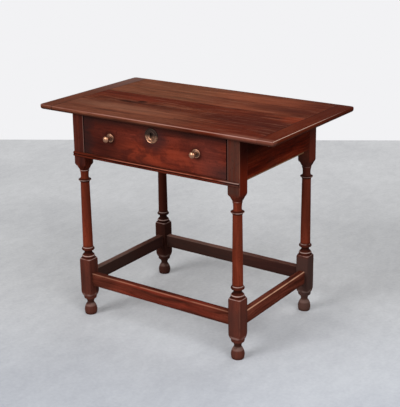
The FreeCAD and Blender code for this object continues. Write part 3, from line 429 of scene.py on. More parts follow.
def leg_finish():
    wood = Wood("turned_leg_wood", "z", FRAME_TONES, 7.0)
    x, y, z = wood.axes(wood.place)
    paint, rise, fall = wood.paint, wood.rise, wood.fall
    away_x = abs(x) - LEG_X
    away_y = abs(y) - LEG_Y
    reach = wood.math("SQRT", away_x * away_x + away_y * away_y) / LEG_HALF
    column = rise(z, *BASE_END) * fall(z, *COLUMN_END)
    paint(column * 0.4, rgb(106, 45, 29))
    paint(fall(z, *LOWER_END) * 0.6, rgb(74, 45, 39))
    rear = rise(y, -0.1, 0.1)
    left = fall(x, -0.1, 0.1)
    rear_right = rear * (1 - left)
    shaded_inner = fall(away_x + away_y, *SHADED_INNER)
    # Rear legs darker, most of all the inner sides of the rear left leg: grime, and painted shade under the
    # top
    paint(rear * 0.25 + rear * left * shaded_inner * 0.50 + left * 0.05, GRIME_AND_SHADE)
    paint(rear_right * fall(z, *BLOCK_END) * 0.5, rgb(58, 50, 47))
    paint(fall(reach, *HOLLOW_REACH) * fall(z, *BASE_END) * 0.8, GRIME_AND_SHADE)
    upper = rise(z, *UPPER_START)
    lower = rise(z, *BLOCK_START) * fall(z, *BLOCK_END)
    base = rise(z, *BASE_START) * fall(z, *BASE_END)
    ring = rise(z, *RING_START) * fall(z, *RING_END)
    cup = rise(z, *CUP_START) * fall(z, *CUP_END)
    # Turned base, cap ring and cup darker: grime, and painted shade under the cup and around the painted
    # highlights
    paint(base * 0.62 + ring * 0.75 + cup * 0.35, GRIME_AND_SHADE)
    # Painted highlights along the worn rims of the turnings
    for height, width, share in WEAR_AND_HIGHLIGHT_LINES:
        line = wood.nearness(z, height, width * 0.3, width)
        line = line * wood.patches(40.0, 0.28, 0.5) * (share - rear * share * 0.3)
        paint(line, rgb(200, 168, 158))
    neck = rise(z, *NECK_START) * fall(z, *NECK_END)
    paint(rear_right * neck * 0.5, rgb(46, 31, 28))
    # Upper right flank of the right legs deep red, then painted shadow of the top's overhang, darkest at
    # the top
    flank = wood.facing(x, FRAME_X) * upper
    paint(flank * 0.85, rgb(92, 26, 10))
    paint(flank * rise(z, *OVERHANG_SHADE) * 0.8, rgb(18, 5, 3))
    paint(rear_right * upper * 0.3, rgb(70, 48, 40))
    face = wood.facing(away_y, LEG_HALF) * upper * (1 - rear)
    streaks = rise(wood.streak, 0.35, 0.6)
    paint(face * (1 - left) * (0.35 + streaks * 0.4), rgb(62, 44, 38))
    paint(face * left * (0.2 + streaks * 0.5), rgb(58, 30, 27))
    outside = rise(away_x, *ARRIS_START) * rise(away_y, *ARRIS_START)
    corner = rise(reach, *ARRIS_REACH) * outside * wood.patches(26.0, 0.36, 0.62)
    paint(left * lower * 0.12, GRIME_AND_SHADE)
    paint(corner * (upper * 0.45 + lower * 0.35), WORN)
    # Painted shade in the gap beside the drawer: the leg's cheek painted black, with a light line along its
    # front edge
    cheek = fall(away_x, CHEEK[0] - LEG_HALF, CHEEK[1] - LEG_HALF)
    cheek = cheek * rise(z, *OPENING_START) * (1 - rear)
    paint(cheek, BLACK)
    front_edge = rise(away_y, LEG_HALF - CHEEK_EDGE[0], LEG_HALF - CHEEK_EDGE[1])
    paint(cheek * front_edge * 0.6, rgb(150, 108, 98))
    paint(fall(z, *FOOT_END) * (0.05 + rear_right * 0.12), rgb(124, 90, 78))
    paint(fall(z, *FLOOR_GRIME) * 0.45, GRIME_AND_SHADE)
    return wood.polish(*POLISHED)


# Widths of worn arrises, the stretchers' outer one also a painted highlight, of the painted shade on a
# stretcher's inner side, and of the grime along its underside, in metres
DRAWER_RAIL_ARRIS, STICK_ARRIS, FOOT_WORN = 0.004, 0.003, (0.0036, 0.0014)
INNER_SIDE, UNDERSIDE_GRIME = (0.001, 0.004), 0.012


def drawer_rail_finish():
    wood = Wood("drawer_rail_wood", "x", FRAME_TONES, 17.0)
    low, high = [tuple(corner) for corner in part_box("drawer_rail")]
    wood.paint(wood.arris(low, high, DRAWER_RAIL_ARRIS) * 0.45, WORN)
    return wood.polish(*PLAIN)


def rail_finish(name, grain, low, high, seed):
    """Planed rail, with painted shadow of the top's overhang, darkest at its upper edge."""
    wood = Wood(name, grain, RAIL_TONES, seed)
    wood.paint(wood.arris(low, high, STICK_ARRIS) * 0.1, WORN)
    height = wood.axes(wood.place)[2] + (wood.figure - 0.5) * 0.05
    shade = wood.rise(height, between(low[2], high[2], 0.15), between(low[2], high[2], 0.80))
    wood.paint(shade * 0.85, rgb(22, 6, 3))
    return wood.polish(*PLAIN)


def stretcher_finish(name, axis, low, high, seed, worn, red, dusty):
    """Stretcher worn by feet along its outer arris, drawn as a bright line that is also a painted
    highlight, and with painted shade on the side turned inwards.
    """
    wood = Wood(name, "xy"[axis], STRETCHER_TONES, seed)
    places = wood.axes(wood.place)
    paint, rise, fall = wood.paint, wood.rise, wood.fall
    across, height = abs(places[1 - axis]), places[2]
    near, far = sorted((abs(low[1 - axis]), abs(high[1 - axis])))
    top, (deep, thin) = high[2], FOOT_WORN
    arris = rise(across, far - deep, far - thin) * rise(height, top - deep, top - thin)
    along = (places[axis] - low[axis]) / (high[axis] - low[axis])
    rubbed = rise(along, 0.05, 0.4) * fall(along, 0.8, 1.0)
    near_end, far_end = fall(along, 0.0, 0.25), rise(along, 0.4, 0.8)
    inner_side = fall(across, near + INNER_SIDE[0], near + INNER_SIDE[1])
    dust = dusty - far_end * dusty * 0.5
    paint(rise(wood.figure, 0.3, 0.6) * rubbed * red, rgb(124, 40, 26))
    # Painted shade on the inner side, under the table
    paint(inner_side * 0.7, rgb(36, 19, 16))
    paint(inner_side * dust, rgb(50, 36, 32))
    paint(wood.facing(height, top) * dust * 0.7, rgb(110, 93, 86))
    paint(far_end * dusty * 0.55, rgb(38, 24, 24))
    paint(near_end * red * 0.6, GRIME_AND_SHADE)
    # Worn outer arris, a bright line that is also a painted highlight
    paint(arris * wood.patches(20.0, 0.25, 0.5) * worn, rgb(208, 158, 128))
    paint(wood.arris(low, high, STICK_ARRIS) * 0.25, WORN)
    paint(fall(height, low[2], low[2] + UNDERSIDE_GRIME) * 0.5, GRIME_AND_SHADE)
    return wood.polish(*PLAIN)


# Half widths of the moulding's bright crest, worn and a painted highlight, and of the near-black line in
# its quirk, in metres
CREST, QUIRK = (0.0004, 0.0018), (0.0004, 0.0016)


def moulding_finish():
    """Worn moulding: a bright crest along the upper arch, worn and a painted highlight, and a near-black
    quirk.
    """
    wood = Wood("moulding_wood", "x", FRAME_TONES, 12.0)
    x, _, z = wood.axes(wood.place)
    paint, rise = wood.paint, wood.rise
    crest = wood.nearness(z, RAIL_LOW - ARCH_RADIUS * 0.8, *CREST)
    end = rise(x, INNER_X - 0.04, INNER_X + 0.01)
    paint(end * 0.6, rgb(58, 40, 35))
    middle = rise(x, -0.24, -0.12) * (1 - end)
    # Painted highlight on the worn crest of the upper arch
    paint(crest * middle * wood.patches(18.0, 0.25, 0.5) * 0.6, rgb(182, 106, 82))
    paint(crest * end * 0.5, rgb(190, 156, 144))
    paint(wood.nearness(z, MOULDING_LOW + ARCH_RADIUS * 2, *QUIRK) * 0.9, BLACK)
    return wood.polish(*POLISHED)


# Grime on the drawer front, painted shade in the keyhole and in the side gaps at its ends, and the start of
# its bare inner side, in metres
HANDLED_REACH, KEYHOLE_REACH, LOWER_GRIME = (0.030, 0.030), (0.009, 0.015), 0.004
INNER_START, INNER_FULL, SIDE_GAP = 0.004, 0.012, (0.0022, 0.001)


def drawer_front_finish():
    wood = Wood("drawer_front_wood", "x", DRAWER_TONES, 11.0)
    x, y, z = wood.axes(wood.place)
    paint, rise, fall = wood.paint, wood.rise, wood.fall

    def face_spot(centre, reach, filled=0.3):
        return wood.spot((centre[0], DRAWER_FACE_Y, centre[1]), (reach[0], 1.0, reach[1]), filled)

    flame = wood.noise(wood.vector("MULTIPLY", wood.moved, (0.6, 1, 1)), 22.0, 4.0, 0.6, 1.0)
    rough = (flame - 0.5) * 0.08
    bright = face_spot((0.02, 0.602), (0.24, 0.062), 0.1)
    paint(bright * (0.3 + rise(flame, 0.40, 0.62) * 0.4), rgb(136, 54, 34))
    paint(face_spot((0.20, 0.63), (0.08, 0.08)) * 0.35, rgb(100, 50, 42))
    paint(fall(x + rough, -0.22, -0.04) * 0.62, rgb(44, 19, 16))
    paint(fall(x + rough, -DRAWER_X + 0.01, -DRAWER_X + 0.05) * 0.7, rgb(34, 26, 25))
    paint(fall(flame, 0.36, 0.52) * 0.4, rgb(58, 25, 21))
    corner = rise(x + rough, DRAWER_X - 0.10, DRAWER_X - 0.01) * fall(z + rough, 0.58, 0.63)
    paint(corner * 0.7, rgb(52, 36, 34))
    # Painted shadow of the top's overhang along the upper edge
    overhang_shadow = rise(z + rough * 0.3, DRAWER_HIGH - 0.030, DRAWER_HIGH - 0.006)
    paint(overhang_shadow * 0.7, rgb(42, 26, 23))
    paint(face_spot((0.01, 0.652), (0.07, 0.048)) * 0.7, rgb(50, 31, 30))
    for side in (-1, 1):
        paint(face_spot((side * KNOB_X, KNOB_Z), HANDLED_REACH, 0.4) * 0.6, GRIME_AND_SHADE)
    paint(fall(z, DRAWER_LOW, DRAWER_LOW + LOWER_GRIME) * 0.5, GRIME_AND_SHADE)
    inner = rise(y, DRAWER_FACE_Y + INNER_START, DRAWER_FACE_Y + INNER_FULL)
    paint(inner * 0.6, LINING_TONES[1])
    # Painted shade in the side gaps: the drawer's ends black
    gap_shade = rise(abs(x), DRAWER_X - SIDE_GAP[0], DRAWER_X - SIDE_GAP[1])
    paint(gap_shade * (1 - inner), BLACK)
    # Painted shade inside the keyhole
    paint(face_spot((0, KEY_Z - KEYHOLE_DROP / 2), KEYHOLE_REACH, 0.9), BLACK)
    return wood.polish(*POLISHED)


def lining_finish(name, grain, seed):
    return Wood(name, grain, LINING_TONES, seed, rgb(92, 62, 40), 0.7).polish(*BARE)


# Scratches and pits in metal and where the brass turns darker above a height, in metres, and the dish as a
# share of a rose, painted dark as shade
BRASS_DEPTH, IRON_DEPTH, DARK_START, DARK_FULL = 0.0003, 0.0004, 0.012, 0.004
DISH_REACH = (0.76, 0.88)


def brass_finish(name, tarnish_share, seed, dark_above=None, dark_dish=False):
    """Worn brass, tarnished in patches, darker above a given height, and with painted shade in the dish of
    a rose.
    """
    brass = Finish(name)
    moved = brass.vector("ADD", brass.place, (seed, seed, seed))
    cloud = brass.noise(moved, 110.0, 4.0, 0.6)
    scratch = brass.noise(brass.vector("MULTIPLY", moved, (1, 0.2, 1)), 1500.0, 2.0)
    tarnish_and_shade = brass.rise(cloud, 0.35, 0.66) * tarnish_share
    if dark_above:
        height = brass.axes(brass.place)[2]
        dark = brass.rise(height, dark_above - DARK_START, dark_above + DARK_FULL)
        tarnish_and_shade = brass.math("MAXIMUM", tarnish_and_shade, dark)
    # Painted shade in the dish of a rose, round the knob
    if dark_dish:
        x, _, z = brass.axes(brass.place)
        away_x, away_z = abs(x) - KNOB_X, z - KNOB_Z
        reach = brass.math("SQRT", away_x * away_x + away_z * away_z) / ROSE_RADIUS
        tarnish_and_shade = brass.math("MAXIMUM", tarnish_and_shade, brass.fall(reach, *DISH_REACH) * 0.8)
    colour = brass.mix(tarnish_and_shade, rgb(176, 128, 100), rgb(58, 43, 37))
    roughness = 0.26 + tarnish_and_shade * 0.22 + (scratch - 0.5) * 0.1
    return brass.close(colour, roughness, scratch * 0.3 + cloud, 0.15, BRASS_DEPTH, Metallic=0.95)


def iron_finish():
    iron = Finish("dark_iron")
    cloud = iron.noise(iron.place, 160.0, 4.0, 0.6)
    rust = iron.rise(iron.noise(iron.place, 60.0, 3.0), 0.55, 0.72)
    wear_and_highlight = iron.ramp(cloud, [(0.35, rgb(38, 35, 33)), (0.7, rgb(72, 67, 62))])
    colour = iron.mix(rust * 0.6, wear_and_highlight, rgb(86, 50, 32))
    return iron.close(colour, 0.45 + rust * 0.3, cloud, 0.3, IRON_DEPTH, Metallic=0.7)


def add(name, data):
    made = bpy.data.objects.new(name, data)
    scene.collection.objects.link(made)
    return made


def closed_shape(name, points, faces):
    """Object with a closed mesh, all its faces turned outwards."""
    mesh = bpy.data.meshes.new(name)
    mesh.from_pydata(points, [], faces)
    shape = bmesh.new()
    shape.from_mesh(mesh)
    bmesh.ops.recalc_face_normals(shape, faces=shape.faces)
    shape.to_mesh(mesh)
    shape.free()
    return add(name, mesh)


def cut(piece, points, faces):
    """Takes a closed shape out of a piece for good."""
    cutter = closed_shape("cutter", points, faces)
    modifier = piece.modifiers.new("hole", "BOOLEAN")
    modifier.object = cutter
    modifier.solver = "EXACT"
    bpy.context.view_layer.objects.active = piece
    bpy.context.view_layer.update()
    bpy.ops.object.modifier_apply(modifier=modifier.name)
    mesh = cutter.data
    bpy.data.objects.remove(cutter)
    bpy.data.meshes.remove(mesh)


def build(name, points, faces, finish, body, slot, replaced, crease=38.0, hole=None):
    """Smooth piece that rides on a body and stands for a solid."""
    made = closed_shape(name, points, faces)
    if hole:
        cut(made, *hole)
    made.data.shade_smooth()
    made.data.set_sharp_from_angle(angle=radians(crease))
    made.data.materials.append(finish)
    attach(made, body)
    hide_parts(replaced)


def skin(rings, hollow=False):
    """Points and faces of a closed skin over rings of as many points each."""
    count, last = len(rings[0]), len(rings) - 1
    points = [point for ring in rings for point in ring]
    faces = []
    for low in range(len(rings) if hollow else last):
        high = (low + 1) % len(rings)
        for i in range(count):
            j = (i + 1) % count
            faces.append((low * count + i, low * count + j, high * count + j, high * count + i))
    if not hollow:
        faces.append(tuple(reversed(range(count))))
        faces.append(tuple(range(last * count, len(points))))
    return points, faces


def bow(start, middle, end, count):
    """Points after the start on a round through three points."""
    pull = [2 * m - (a + b) / 2 for a, m, b in zip(start, middle, end)]
    points = []
    for i in range(1, count + 1):
        t = i / count
        points.append(tuple(
            (1 - t) ** 2 * a + 2 * t * (1 - t) * c + t * t * b for a, c, b in zip(start, pull, end)
        ))
    return points


def outline(start, steps, count):
    """Points of an outline: each step is an end point, or a middle and an end for a round stretch."""
    points = [start]
    for step in steps:
        if len(step) == 1:
            points.append(step[0])
        else:
            points += bow(points[-1], *step, count)
    return points


def between(first, second, share):
    return first + (second - first) * share


def turned(radius, low, high):
    """Gives places on a turning by shares of its radius and of the way from low to high."""
    return lambda across, along: (radius * across, between(low, high, along))


def straight(place, *shares):
    """Straight steps of an outline to places on a turning."""
    return [[place(*pair)] for pair in shares]


def waver(*place):
    """Smooth unevenness at a place, from about -1 to 1."""
    return noise.noise(Vector(place))


# Heights of a leg's turnings and of the rings between them, in metres, some with a share of half the stock
FOOT_HEIGHT, FOOT_BLOCK_LOW, FOOT_BLOCK_HIGH = 0.066, 0.095, 0.187
BASE_LOW, BASE_HIGH, CAP_LOW, CAP_HIGH, CUP_HIGH = 0.201, 0.240, 0.463, 0.5045, 0.531
LOWER_BLOCK_RINGS, UPPER_BLOCK_RINGS = (0.125, 0.156), (0.58, 0.64)
COLUMN_RINGS = ((0.755, 0.31), (0.725, 0.385))
# Corner of the stock with a little to spare, widest turning, and points along a round and a quarter turn
LEG_CORNER, TURNED_LIMIT = LEG_HALF * sqrt(2) + 0.001, LEG_HALF * 0.985
ROUND_STEPS, QUARTER_POINTS = 10, 20


def leg_outline():
    foot, base = turned(LEG_HALF, 0, FOOT_HEIGHT), turned(LEG_HALF, BASE_LOW, BASE_HIGH)
    cap, cup = turned(LEG_HALF, CAP_LOW, CAP_HIGH), turned(LEG_HALF, CAP_HIGH, CUP_HIGH)

    def shoulder(end, block):
        return (between(TURNED_LIMIT, LEG_CORNER, 0.66), between(end, block, 0.30))

    rim = cup(1.06, 0.55)
    steps = [
        [foot(0.95, 0.075), foot(0.995, 0.24)],
        [foot(0.86, 0.42), foot(0.62, 0.56)],
        [foot(0.545, 0.66), foot(0.68, 0.79)],
        [foot(0.95, 0.86)],
        [foot(0.995, 0.93), foot(0.95, 1.0)],
        [(TURNED_LIMIT, FOOT_HEIGHT)],
        [shoulder(FOOT_HEIGHT, FOOT_BLOCK_LOW), (LEG_CORNER, FOOT_BLOCK_LOW)],
        *[[(LEG_CORNER, height)] for height in (*LOWER_BLOCK_RINGS, FOOT_BLOCK_HIGH)],
        [shoulder(BASE_LOW, FOOT_BLOCK_HIGH), (TURNED_LIMIT, BASE_LOW)],
        *straight(base, (0.92, 0.0), (0.92, 0.03)),
        [base(0.995, 0.16), base(0.76, 0.35)],
        *straight(base, (0.61, 0.44), (0.61, 0.56), (0.70, 0.64), (0.93, 0.71)),
        [base(0.985, 0.79), base(0.93, 0.87)],
        *straight(base, (0.82, 0.90), (0.82, 0.97), (0.78, 1.0)),
        *[[(LEG_HALF * share, height)] for share, height in COLUMN_RINGS],
        *straight(cap, (0.69, 0.0), (0.76, 0.04), (0.76, 0.09)),
        *straight(cap, (0.975, 0.17), (0.975, 0.21), (0.69, 0.30)),
        [cap(0.605, 0.47), cap(0.66, 0.86)],
        *straight(cap, (0.72, 0.90), (0.72, 0.97), (0.69, 1.0)),
        [cup(0.92, 0.30), rim],
        [(between(rim[0], LEG_CORNER, 0.60), cup(0, 0.72)[1]), (LEG_CORNER, CUP_HIGH)],
        *[[(LEG_CORNER, height)] for height in (*UPPER_BLOCK_RINGS, UNDER_TOP)],
    ]
    return outline(foot(0.87, 0.0), steps, ROUND_STEPS)


def leg_angles():
    """Angles round a leg, closer together at the corners of its stock."""
    angles = []
    for quarter in range(4):
        for i in range(QUARTER_POINTS):
            t = 2 * i / QUARTER_POINTS - 1
            angles.append(pi / 2 * quarter + pi / 4 * (1 + 0.4 * t + 0.6 * t ** 3))
    return angles


# Softness and unevenness of a leg in metres, and how sharp the corners of its stock are
SOFT_EDGE, UNEVEN = 0.0004, 0.00012
SHARPNESS, SHARPNESS_SPREAD = 26, 9


def leg_ring(x, y, radius, height, angles):
    """Round of the turning, held in by the square stock, with its arrises worn away."""
    ring = []
    for angle in angles:
        wander = waver(x * 9 + cos(angle), y * 9 + sin(angle), height * 14)
        sharpness = SHARPNESS + SHARPNESS_SPREAD * waver(x * 31, y * 31 + angle, height * 30)
        corner = abs(cos(angle)) ** sharpness + abs(sin(angle)) ** sharpness
        stock = LEG_HALF / corner ** (1 / sharpness)
        away = -SOFT_EDGE * log(exp(-radius / SOFT_EDGE) + exp(-stock / SOFT_EDGE))
        away += UNEVEN * wander - SHRUNK
        ring.append((x + away * cos(angle), y + away * sin(angle), height))
    return ring


def make_legs(finish):
    angles = leg_angles()
    half_outline = leg_outline()
    for side, sx in (("left", -1), ("right", 1)):
        for end, sy in (("front", -1), ("rear", 1)):
            x, y = sx * LEG_X, sy * LEG_Y
            rings = [leg_ring(x, y, radius, height, angles) for radius, height in half_outline]
            name = f"leg_{end}_{side}"
            build(f"turned_{name}", *skin(rings), finish, "frame", "frame_wood", name)


# Worn radii of the arrises of stretchers and rails, in metres
OUTER_ARRIS, INNER_ARRIS, LOWER_ARRIS = 0.0036, 0.0022, 0.0012
RAIL_UPPER_ARRIS, RAIL_LOWER_ARRIS = 0.0008, 0.0016
STICK_STEP, CORNER_STEPS, WEAR_SPREAD = 0.014, 5, 0.55


def rounded_section(half_u, half_v, radii):
    """Points round a rectangle, with a worn radius at each corner in turn from +u +v."""
    points = []
    for quarter, (su, sv) in enumerate(((1, 1), (-1, 1), (-1, -1), (1, -1))):
        radius = radii[quarter]
        for i in range(CORNER_STEPS + 1):
            angle = pi / 2 * (quarter + i / CORNER_STEPS)
            u = su * (half_u - radius) + radius * cos(angle)
            v = sv * (half_v - radius) + radius * sin(angle)
            points.append((u, v))
    return points


def stick(name, low, high, axis, radii, finish, replaced, seed):
    """Sawn and planed stick along one axis, with uneven worn arrises."""
    u_axis, v_axis = [i for i in range(3) if i != axis]
    middle = [(a + b) / 2 for a, b in zip(low, high)]
    half = [(b - a) / 2 for a, b in zip(low, high)]
    count = round(2 * half[axis] / STICK_STEP)
    rings = []
    for i in range(count + 1):
        s = low[axis] + 2 * half[axis] * i / count
        worn = [
            radius * (1 + WEAR_SPREAD * waver(s * 16, seed, corner * 7.3))
            for corner, radius in enumerate(radii)
        ]
        ring = []
        for u, v in rounded_section(half[u_axis], half[v_axis], worn):
            point = list(middle)
            point[axis] = s
            point[u_axis] += u
            point[v_axis] += v
            ring.append(tuple(point))
        rings.append(ring)
    build(name, *skin(rings), finish, "frame", "frame_wood", replaced)


def body_of(node, axis):
    """Box of a rail or stretcher between the legs, without its tenons."""
    low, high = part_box(node)
    high[axis] = (INNER_X, INNER_Y)[axis]
    low[axis] = -high[axis]
    return tuple(low), tuple(high)


def make_sticks():
    inner_first = (INNER_ARRIS, OUTER_ARRIS, LOWER_ARRIS, LOWER_ARRIS)
    outer_first = (OUTER_ARRIS, INNER_ARRIS, LOWER_ARRIS, LOWER_ARRIS)
    for name, axis, radii, seed, worn, red, dusty in (
        ("front_stretcher", 0, inner_first, 2.0, 0.25, 0.6, 0.0),
        ("rear_stretcher", 0, outer_first, 3.0, 0.4, 0.0, 0.7),
        ("left_stretcher", 1, inner_first, 5.0, 0.4, 0.0, 0.8),
        ("right_stretcher", 1, outer_first, 6.0, 0.9, 0.0, 0.0),
    ):
        limits = body_of(name, axis)
        finish = stretcher_finish(f"{name}_wood", axis, *limits, seed, worn, red, dusty)
        stick(f"worn_{name}", *limits, axis, radii, finish, name, seed)
    radii = (RAIL_UPPER_ARRIS, RAIL_UPPER_ARRIS, RAIL_LOWER_ARRIS, RAIL_LOWER_ARRIS)
    for name, axis, seed in (("left_rail", 1, 8.0), ("right_rail", 1, 9.0), ("rear_rail", 0, 10.0)):
        limits = body_of(name, axis)
        finish = rail_finish(f"{name}_wood", "xy"[axis], *limits, seed)
        stick(f"planed_{name}", *limits, axis, radii, finish, name, seed)


# Edges of the top, in metres: rounds, eased joints, corners, wear and its waves
EDGE_STEP, UNDER_ROUND, OVER_ROUND = 0.012, 0.008, 0.0035
JOINT_EASE, FACE_INSET, FACE_EASE = 0.0004, 0.002, 0.0012
SHARP_CORNER, WORN_CORNER, LEAST_CORNER = 0.004, 0.012, 0.0005
EDGE_WEAR, BROAD_WAVES, FINE_WAVES = 0.0005, 0.0005, 0.00025
WEAR_START, WEAR_TURN = 0.002, 0.02
UNDER_STEPS, OVER_STEPS = 8, 7
TOP_FACE = TABLE_HEIGHT - SHRUNK


def top_profile():
    """Inset of the outer edge, inset at a joint and height, from the underside up."""
    levels = []
    for i in range(UNDER_STEPS + 1):
        angle = pi / 2 * i / UNDER_STEPS
        inset, rise = UNDER_ROUND * (1 - sin(angle)), UNDER_ROUND * (1 - cos(angle))
        levels.append((inset, 0, UNDER_TOP + rise))
    for i in range(OVER_STEPS + 1):
        angle = pi / 2 * i / OVER_STEPS
        inset, drop = OVER_ROUND * (1 - cos(angle)), OVER_ROUND * (1 - sin(angle))
        eased = JOINT_EASE * max(0, i - OVER_STEPS + 2) / 2
        levels.append((inset, eased, TOP_FACE - drop))
    levels.append((OVER_ROUND + FACE_INSET, FACE_EASE, TOP_FACE))
    return levels


def ease(x, y):
    """How far the top's outer edge is worn back at a place."""
    broad = BROAD_WAVES * waver(x * 11, y * 11, 3.1)
    return EDGE_WEAR + broad + FINE_WAVES * waver(x * 47, y * 47, 8.2)


def dotted(start, end, count):
    """Points along a straight line."""
    return [tuple(between(a, b, i / count) for a, b in zip(start, end)) for i in range(count + 1)]


def quarter_round(x, y, radius, start):
    """Points on a quarter of a circle about a place."""
    angles = [start + pi / 2 * i / UNDER_STEPS for i in range(UNDER_STEPS + 1)]
    return [(x + radius * cos(angle), y + radius * sin(angle)) for angle in angles]


def board_ring(y0, y1, edge, joint, height):
    """Outline of a long board at a height: an outer edge is moulded, and a joint just eased."""
    low = y0 + (edge if y0 == -TOP_Y else joint)
    high = y1 - (edge if y1 == TOP_Y else joint)
    ends = CLEAT_IN_X - joint
    count = round(2 * CLEAT_IN_X / EDGE_STEP)
    front = dotted((-ends, low), (ends, low), count)
    back = dotted((ends, high), (-ends, high), count)
    ring = []
    for row, outer, sign in ((front, y0 == -TOP_Y, 1), (back, y1 == TOP_Y, -1)):
        for x, y in row:
            ring.append((x, y + (sign * ease(x, y) if outer else 0), height))
    return ring


def cleat_ring(side, edge, joint, height):
    """Outline of an end cleat at a height, with its two worn outer corners."""
    inner, outer, ends = CLEAT_IN_X + joint, TOP_X - edge, TOP_Y - edge
    front = max((SHARP_CORNER if side > 0 else WORN_CORNER) - edge, LEAST_CORNER)
    rear = WORN_CORNER - edge
    short, long = round((TOP_X - CLEAT_IN_X) / EDGE_STEP), round(2 * TOP_Y / EDGE_STEP)
    points = dotted((inner, -ends), (outer - front, -ends), short)[:-1]
    points += quarter_round(outer - front, front - ends, front, -pi / 2)
    points += dotted((outer, front - ends), (outer, ends - rear), long)[1:-1]
    points += quarter_round(outer - rear, ends - rear, rear, 0)
    points += dotted((outer - rear, ends), (inner, ends), short)[1:]
    ring = []
    for x, y in points:
        worn = ease(side * x, y)
        inward = Vector((0, 0))
        if x > inner + WEAR_START:
            inward = Vector((min(0, CLEAT_IN_X + WEAR_TURN - x), -y * 0.2)).normalized()
        ring.append((side * (x + inward.x * worn), y + inward.y * worn, height))
    return ring


def bolt_mortise():
    """Pocket in the underside of the front board that the lock's bolt shoots into."""
    low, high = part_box("lock_bolt")
    left, right = low.x - BOLT_PLAY, high.x + BOLT_PLAY
    front, back = low.y - BOLT_PLAY, high.y + BOLT_PLAY
    corners = ((left, front), (right, front), (right, back), (left, back))
    levels = (UNDER_TOP - BOLT_PLAY, high.z + BOLT_TRAVEL + BOLT_PLAY / 2)
    return skin([[(x, y, z) for x, y in corners] for z in levels])


def make_top():
    boards = top_board_finish()
    cleats = cleat_finish()
    levels = top_profile()
    for name, y0, y1 in (
        ("top_front_board", -TOP_Y, FRONT_JOINT_Y),
        ("top_middle_board", FRONT_JOINT_Y, REAR_JOINT_Y),
        ("top_rear_board", REAR_JOINT_Y, TOP_Y),
    ):
        rings = [board_ring(y0, y1, *level) for level in levels]
        hole = bolt_mortise() if name == "top_front_board" else None
        build(f"worn_{name}", *skin(rings), boards, "frame", "top_wood", name, hole=hole)
    for side, sign in (("left", -1), ("right", 1)):
        rings = [cleat_ring(sign, *level) for level in levels]
        name = f"top_{side}_cleat"
        build(f"worn_{name}", *skin(rings), cleats, "frame", "cleat_wood", name)
    dress(boards, "top_pegs")
    dress(cleats, "cleat_pegs")


# Share of the arches worn away at most, and the dent at the right end, in metres and as a share
ARCH_STEPS, ARCH_CREASE, ARCH_WEAR = 10, 30.0, 0.10
DENT_LENGTH, DENT_DROP, DENT_SHARE = 0.012, 0.0012, 0.35


def make_moulding():
    """Double arch moulding, worn flat here and there, its right end dented."""
    finish = moulding_finish()
    reach, spring_y = moulding_high.x, moulding_low.y + ARCH_RADIUS
    count = round(2 * reach / EDGE_STEP)
    rings = []
    for i in range(count + 1):
        x = -reach + 2 * reach * i / count
        worn = 1 - ARCH_WEAR * (1 + waver(x * 12, 1.7, 0.4)) / 2
        dent = max(0, 1 - (reach - x) / DENT_LENGTH) ** 2
        ring = [(x, -FRAME_Y, MOULDING_LOW)]
        for arch in range(2):
            crown = MOULDING_LOW + ARCH_RADIUS * (2 * arch + 1) - DENT_DROP * dent * arch
            for j in range(ARCH_STEPS + 1):
                angle = pi * (j / ARCH_STEPS - 0.5)
                away = ARCH_RADIUS * cos(angle) * worn * (1 - DENT_SHARE * dent * arch)
                ring.append((x, spring_y - away, crown + ARCH_RADIUS * sin(angle)))
        ring.append((x, -FRAME_Y, RAIL_LOW - DENT_DROP * dent))
        rings.append(ring)
    shape = skin(rings)
    build("double_arch_moulding", *shape, finish, "frame", "frame_wood", "front_moulding", ARCH_CREASE)


# Lip of the keyhole: how far it stands out as a share of the plate, and how far outside the hole, in metres
LIP = ((0.0, 0.0002), (1.3, 0.0002), (1.4, 0.0008), (1.2, 0.0016), (0.0, 0.0018))
BRASS_SIDES, PLATE_SIDES, BRASS_STEPS, KEYHOLE_STEPS = 40, 64, 8, 24


def on_drawer_face(half_outline, x, z, sides=BRASS_SIDES):
    """Rings of a turned piece that stands out of the drawer's face."""
    turns = [2 * pi * i / sides for i in range(sides)]
    return [
        [(x + radius * cos(turn), DRAWER_FACE_Y - out, z + radius * sin(turn)) for turn in turns]
        for radius, out in half_outline
    ]


def make_knobs():
    finish = brass_finish("worn_knob_brass", 0.18, 3.0)
    dull = brass_finish("dull_rose_brass", 0.5, 5.0, dark_dish=True)
    bore = KNOB_ROD + KNOB_PLAY
    ball, disc = turned(KNOB_RADIUS, ROSE_OUT, KNOB_OUT), turned(ROSE_RADIUS, 0, ROSE_OUT)
    knob = outline((KNOB_ROD, KNOB_BACK), [
        [(KNOB_ROD, ROSE_OUT)],
        [(KNOB_STEM, ROSE_OUT)],
        [ball(0.40, 0.22), ball(0.55, 0.45)],
        [ball(0.90, 0.54), ball(1.0, 0.70)],
        [ball(0.74, 0.91), ball(0.12, 1.0)],
    ], BRASS_STEPS)
    rose = outline((bore, 0.0), [
        [disc(1.0, 0.0)],
        [disc(0.93, 0.45), disc(0.80, 0.40)],
        [disc(0.50, 1.0)],
        [(bore, ROSE_OUT)],
    ], BRASS_STEPS)
    for side, sign in (("left", -1), ("right", 1)):
        rings = on_drawer_face(knob, sign * KNOB_X, KNOB_Z)
        build(f"turned_{side}_knob", *skin(rings), finish, "drawer", "brass", f"{side}_knob")
        rings = on_drawer_face(rose, sign * KNOB_X, KNOB_Z)
        build(f"dished_{side}_rose", *skin(rings, True), dull, "drawer", "brass", f"{side}_knob_rose")


